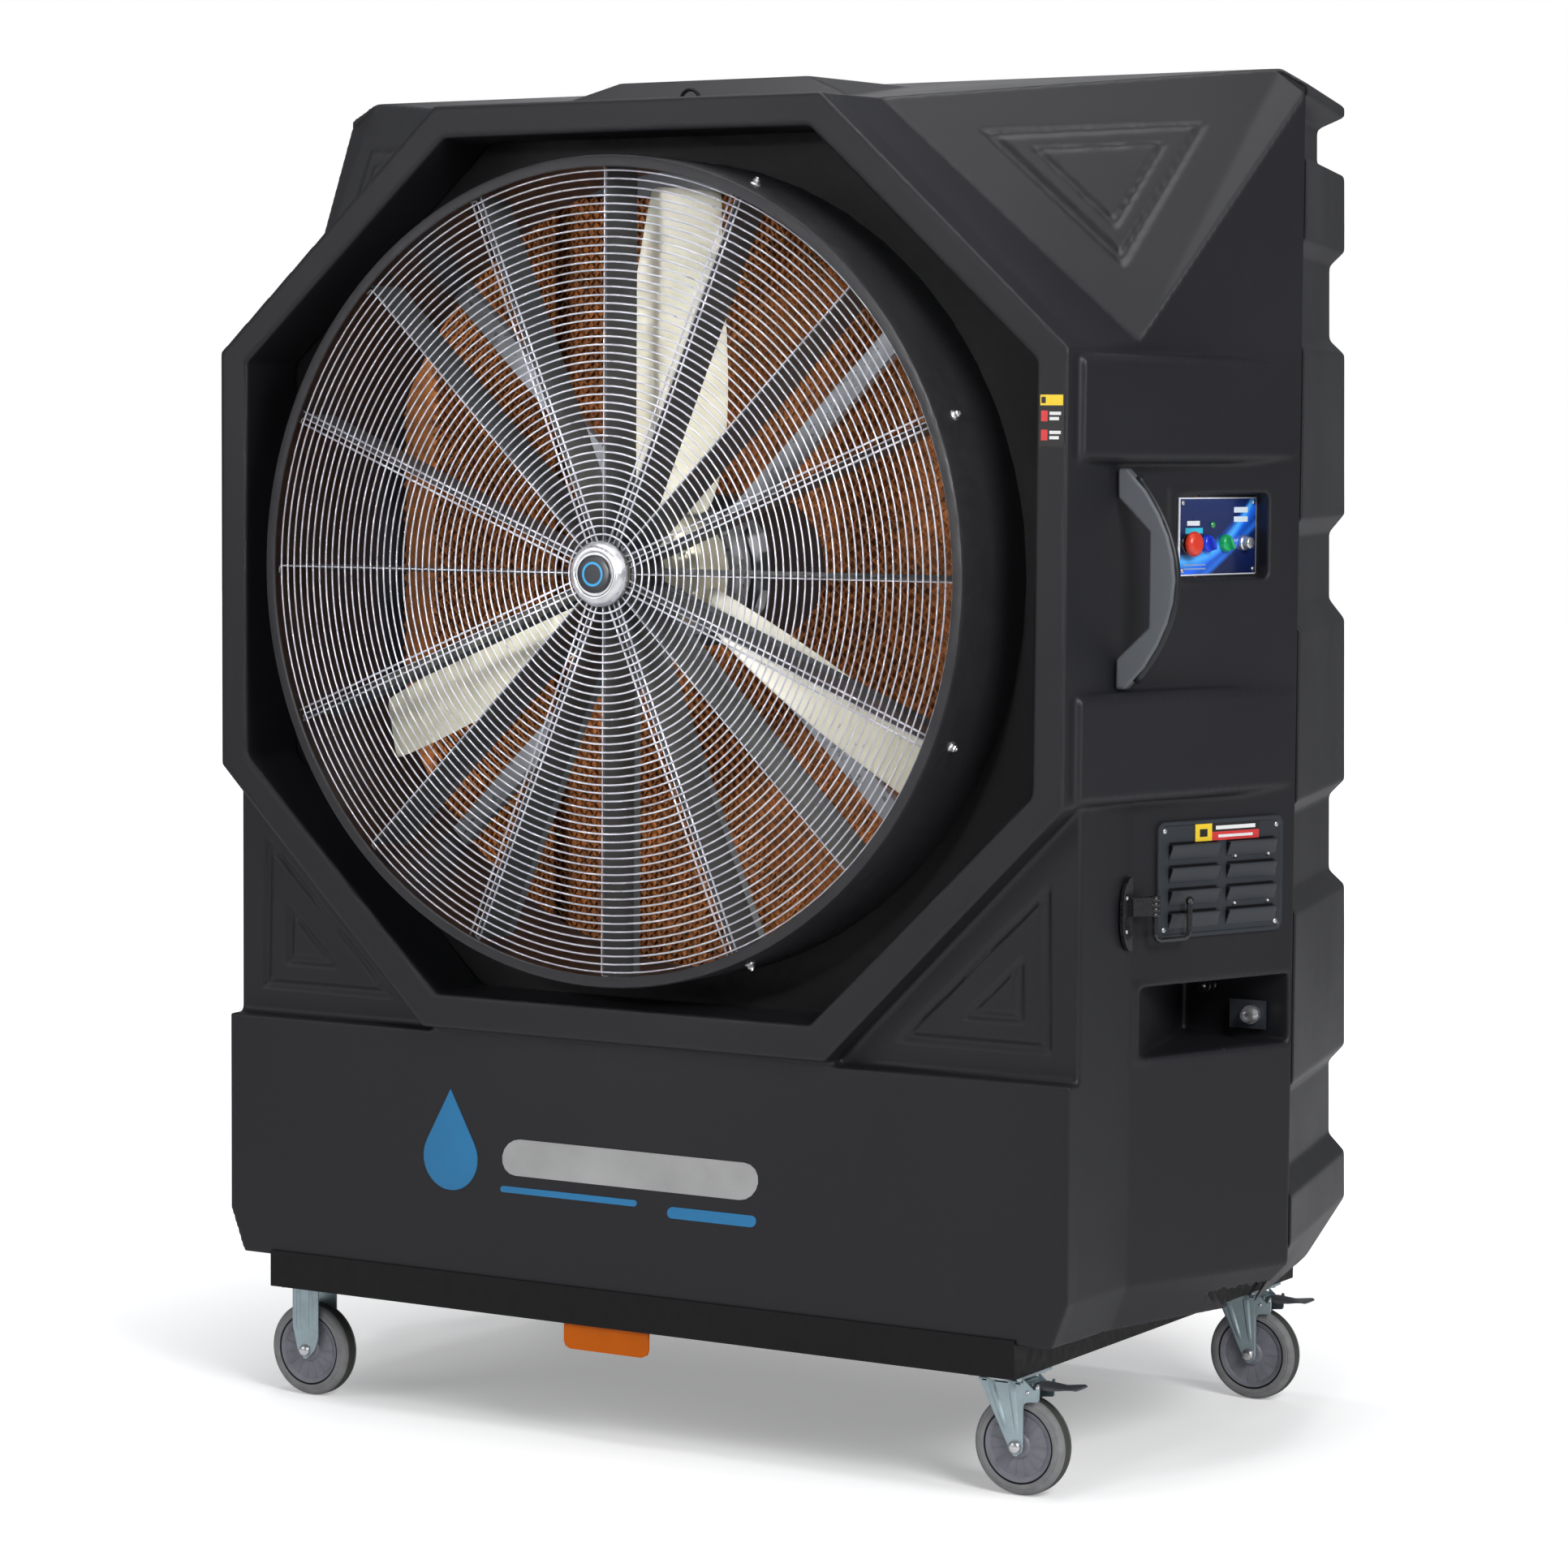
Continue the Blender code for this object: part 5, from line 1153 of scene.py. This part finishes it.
def caster_race(tag):
    """Bright bearing band under a swivel plate, and the plate's bolts."""
    high = corners(f"swivel_plate_{tag}")[1]
    centre = middle(f"swivel_plate_{tag}")
    band = [(0.03, -0.002), (0.0345, -0.002), (0.0355, -0.0035), (0.0355, -0.0085), (0.034, -0.0098),
            (0.03, -0.0098)]
    spun_piece(f"race_band_{tag}", band, (centre.x, centre.y, high.z - 0.0035), Z, STEEL, "zinc_steel",
               steps=56, closed=True)
    bm = bmesh.new()
    for x in (-0.041, 0.041):
        for y in (-0.039, 0.039):
            screw_head(bm, Vector((centre.x + x, centre.y + y, high.z - 0.0062)), -Z, 0.0052, 0.0048)
    round_piece(f"plate_bolts_{tag}", bm, STEEL, "zinc_steel")


def caster_pedal(tag):
    """Brake lever with a curled tip."""
    node = f"brake_pedal_{tag}"
    low, high = corners(node)
    place = "front" if tag == "FR" else "rear"
    reach = high.x - low.x
    mid_y = (low.y + high.y) / 2
    bm = bmesh.new()
    loops = []
    outline = ((0, 0.0045, 0.011, 0.012), (0.12, 0.002, 0.0125, 0.02), (0.3, 0.0015, 0.011, 0.022),
               (0.55, 0.003, 0.0095, 0.019), (0.78, 0.0065, 0.011, 0.022), (0.92, 0.0078, 0.0118, 0.024),
               (0.985, 0.007, 0.0104, 0.021), (1, 0.0074, 0.0096, 0.016))
    for share, under, over, half in outline:
        x = low.x + reach * share
        loops.append([Vector((x, mid_y + half * cos(a), low.z + (under + over) / 2
                              + (over - under) / 2 * copysign(abs(sin(a)) ** 0.6, sin(a))))
                      for a in circle(16)])
    loft_loops(bm, loops)
    pedal = round_piece(f"pedal_{tag}", bm, PEDAL, "pedal_grey", node, f"right_{place}_pedal")
    weigh(pedal)


def casters():
    for tag in ("FL", "RL", "FR", "RR"):
        caster_wheel(tag)
        caster_fork(tag)
        caster_axle(tag)
    for tag in ("FR", "RR"):
        caster_race(tag)
        caster_pedal(tag)


# Stage

def area_light(name, place, target, size, power):
    data = bpy.data.lights.new(name, "AREA")
    data.energy = power
    data.shape = "RECTANGLE"
    data.size = size
    data.size_y = size
    light = bpy.data.objects.new(name, data)
    light.location = place
    light.rotation_euler = (Vector(target) - Vector(place)).to_track_quat("-Z", "Y").to_euler()
    SCENE.collection.objects.link(light)
    return data


def studio():
    """White backdrop to the eye, softer white to the object, a pale floor and soft boxes."""
    world = bpy.data.worlds.new("studio")
    world.use_nodes = True
    nodes, links = world.node_tree.nodes, world.node_tree.links
    seen = nodes["Background"]
    seen.inputs["Color"].default_value = (1, 1, 1, 1)
    seen.inputs["Strength"].default_value = 1
    light = nodes.new("ShaderNodeBackground")
    light.inputs["Color"].default_value = (0.93, 0.95, 1, 1)
    light.inputs["Strength"].default_value = 0.24
    path = nodes.new("ShaderNodeLightPath")
    mixed = nodes.new("ShaderNodeMixShader")
    links.new(path.outputs["Is Camera Ray"], mixed.inputs[0])
    links.new(light.outputs[0], mixed.inputs[1])
    links.new(seen.outputs[0], mixed.inputs[2])
    links.new(mixed.outputs[0], nodes["World Output"].inputs["Surface"])
    SCENE.world = world
    SCENE.view_settings.view_transform = "Standard"
    bm = bmesh.new()
    bmesh.ops.create_grid(bm, x_segments=1, y_segments=1, size=30)
    mesh = bpy.data.meshes.new("floor")
    bm.to_mesh(mesh)
    bm.free()
    floor = bpy.data.objects.new("floor", mesh)
    SCENE.collection.objects.link(floor)
    g = Graph("floor_paint")
    faint = g.noise(1.5, 3)
    tone = g.mix(g.span(faint, 0.3, 0.7, 0, 1), (0.88, 0.88, 0.885), (0.91, 0.91, 0.91))
    reach = g.node("VectorMath", {0: g.where}, operation="LENGTH")["Value"]
    glow = g.span(reach, 0.7, 3.4, 0.3, 1)
    g.set(emission_color=(1, 1, 1))
    g.set(emission_strength=g.math("MULTIPLY", glow, g.node("LightPath", {})["Is Camera Ray"]))
    mesh.materials.append(g.finish(tone, 0.8))
    area_light("key", (5.4, -3.2, 4), (0.5, 0, 1.3), 2.4, 330)
    area_light("fill", (-3.4, -5.2, 2.6), (0, 0, 1.2), 3, 62)
    area_light("top", (0, -0.6, 5.4), (0, 0, 1), 3.4, 170)
    area_light("back", (-2.5, 4.6, 3.2), (0, 0, 1.1), 2.4, 20)
    area_light("beam", (0.6, -6, 2.6), (0, -0.3, 1.36), 0.6, 5).spread = radians(16)
    for x in (-0.66, 0.66):
        for z in (0.8, 1.88):
            area_light("inner", at(x, 0.3, z), at(x * -0.1, 0.86, 1.36), 0.22, 4.2)


CAMERA_PLACE = (3.7662, -5.7756, 1.5647)
CAMERA_ANGLES = (31, 4.35, 0.4)        # azimuth, pitch and roll in degrees
CAMERA_LENS = 103.77                     # mm, on a 36 mm sensor


def camera():
    """A long lens a little right of the front, nearly level."""
    azimuth, pitch, roll = (radians(degrees) for degrees in CAMERA_ANGLES)
    ahead = Vector((-sin(azimuth) * cos(pitch), cos(azimuth) * cos(pitch), -sin(pitch)))
    right = Vector((cos(azimuth), sin(azimuth), 0))
    up = right.cross(ahead)
    right, up = (right * cos(roll) + up * sin(roll), up * cos(roll) - right * sin(roll))
    data = bpy.data.cameras.new("camera")
    data.lens = CAMERA_LENS
    data.sensor_width = 36
    data.clip_end = 100
    view = bpy.data.objects.new("camera", data)
    turn = Matrix((right, up, -ahead)).transposed().to_4x4()
    view.matrix_world = Matrix.Translation(at(*CAMERA_PLACE)) @ turn
    SCENE.collection.objects.link(view)
    SCENE.camera = view


for build in (housings, fan_ring, wire_guard, guard_vanes, guard_centre, blades, fan_core, pads, controls,
              louver_cover, hook_mount, inlet_details, labels, front_sign, handles, carried_over, casters, studio, camera):
    build()
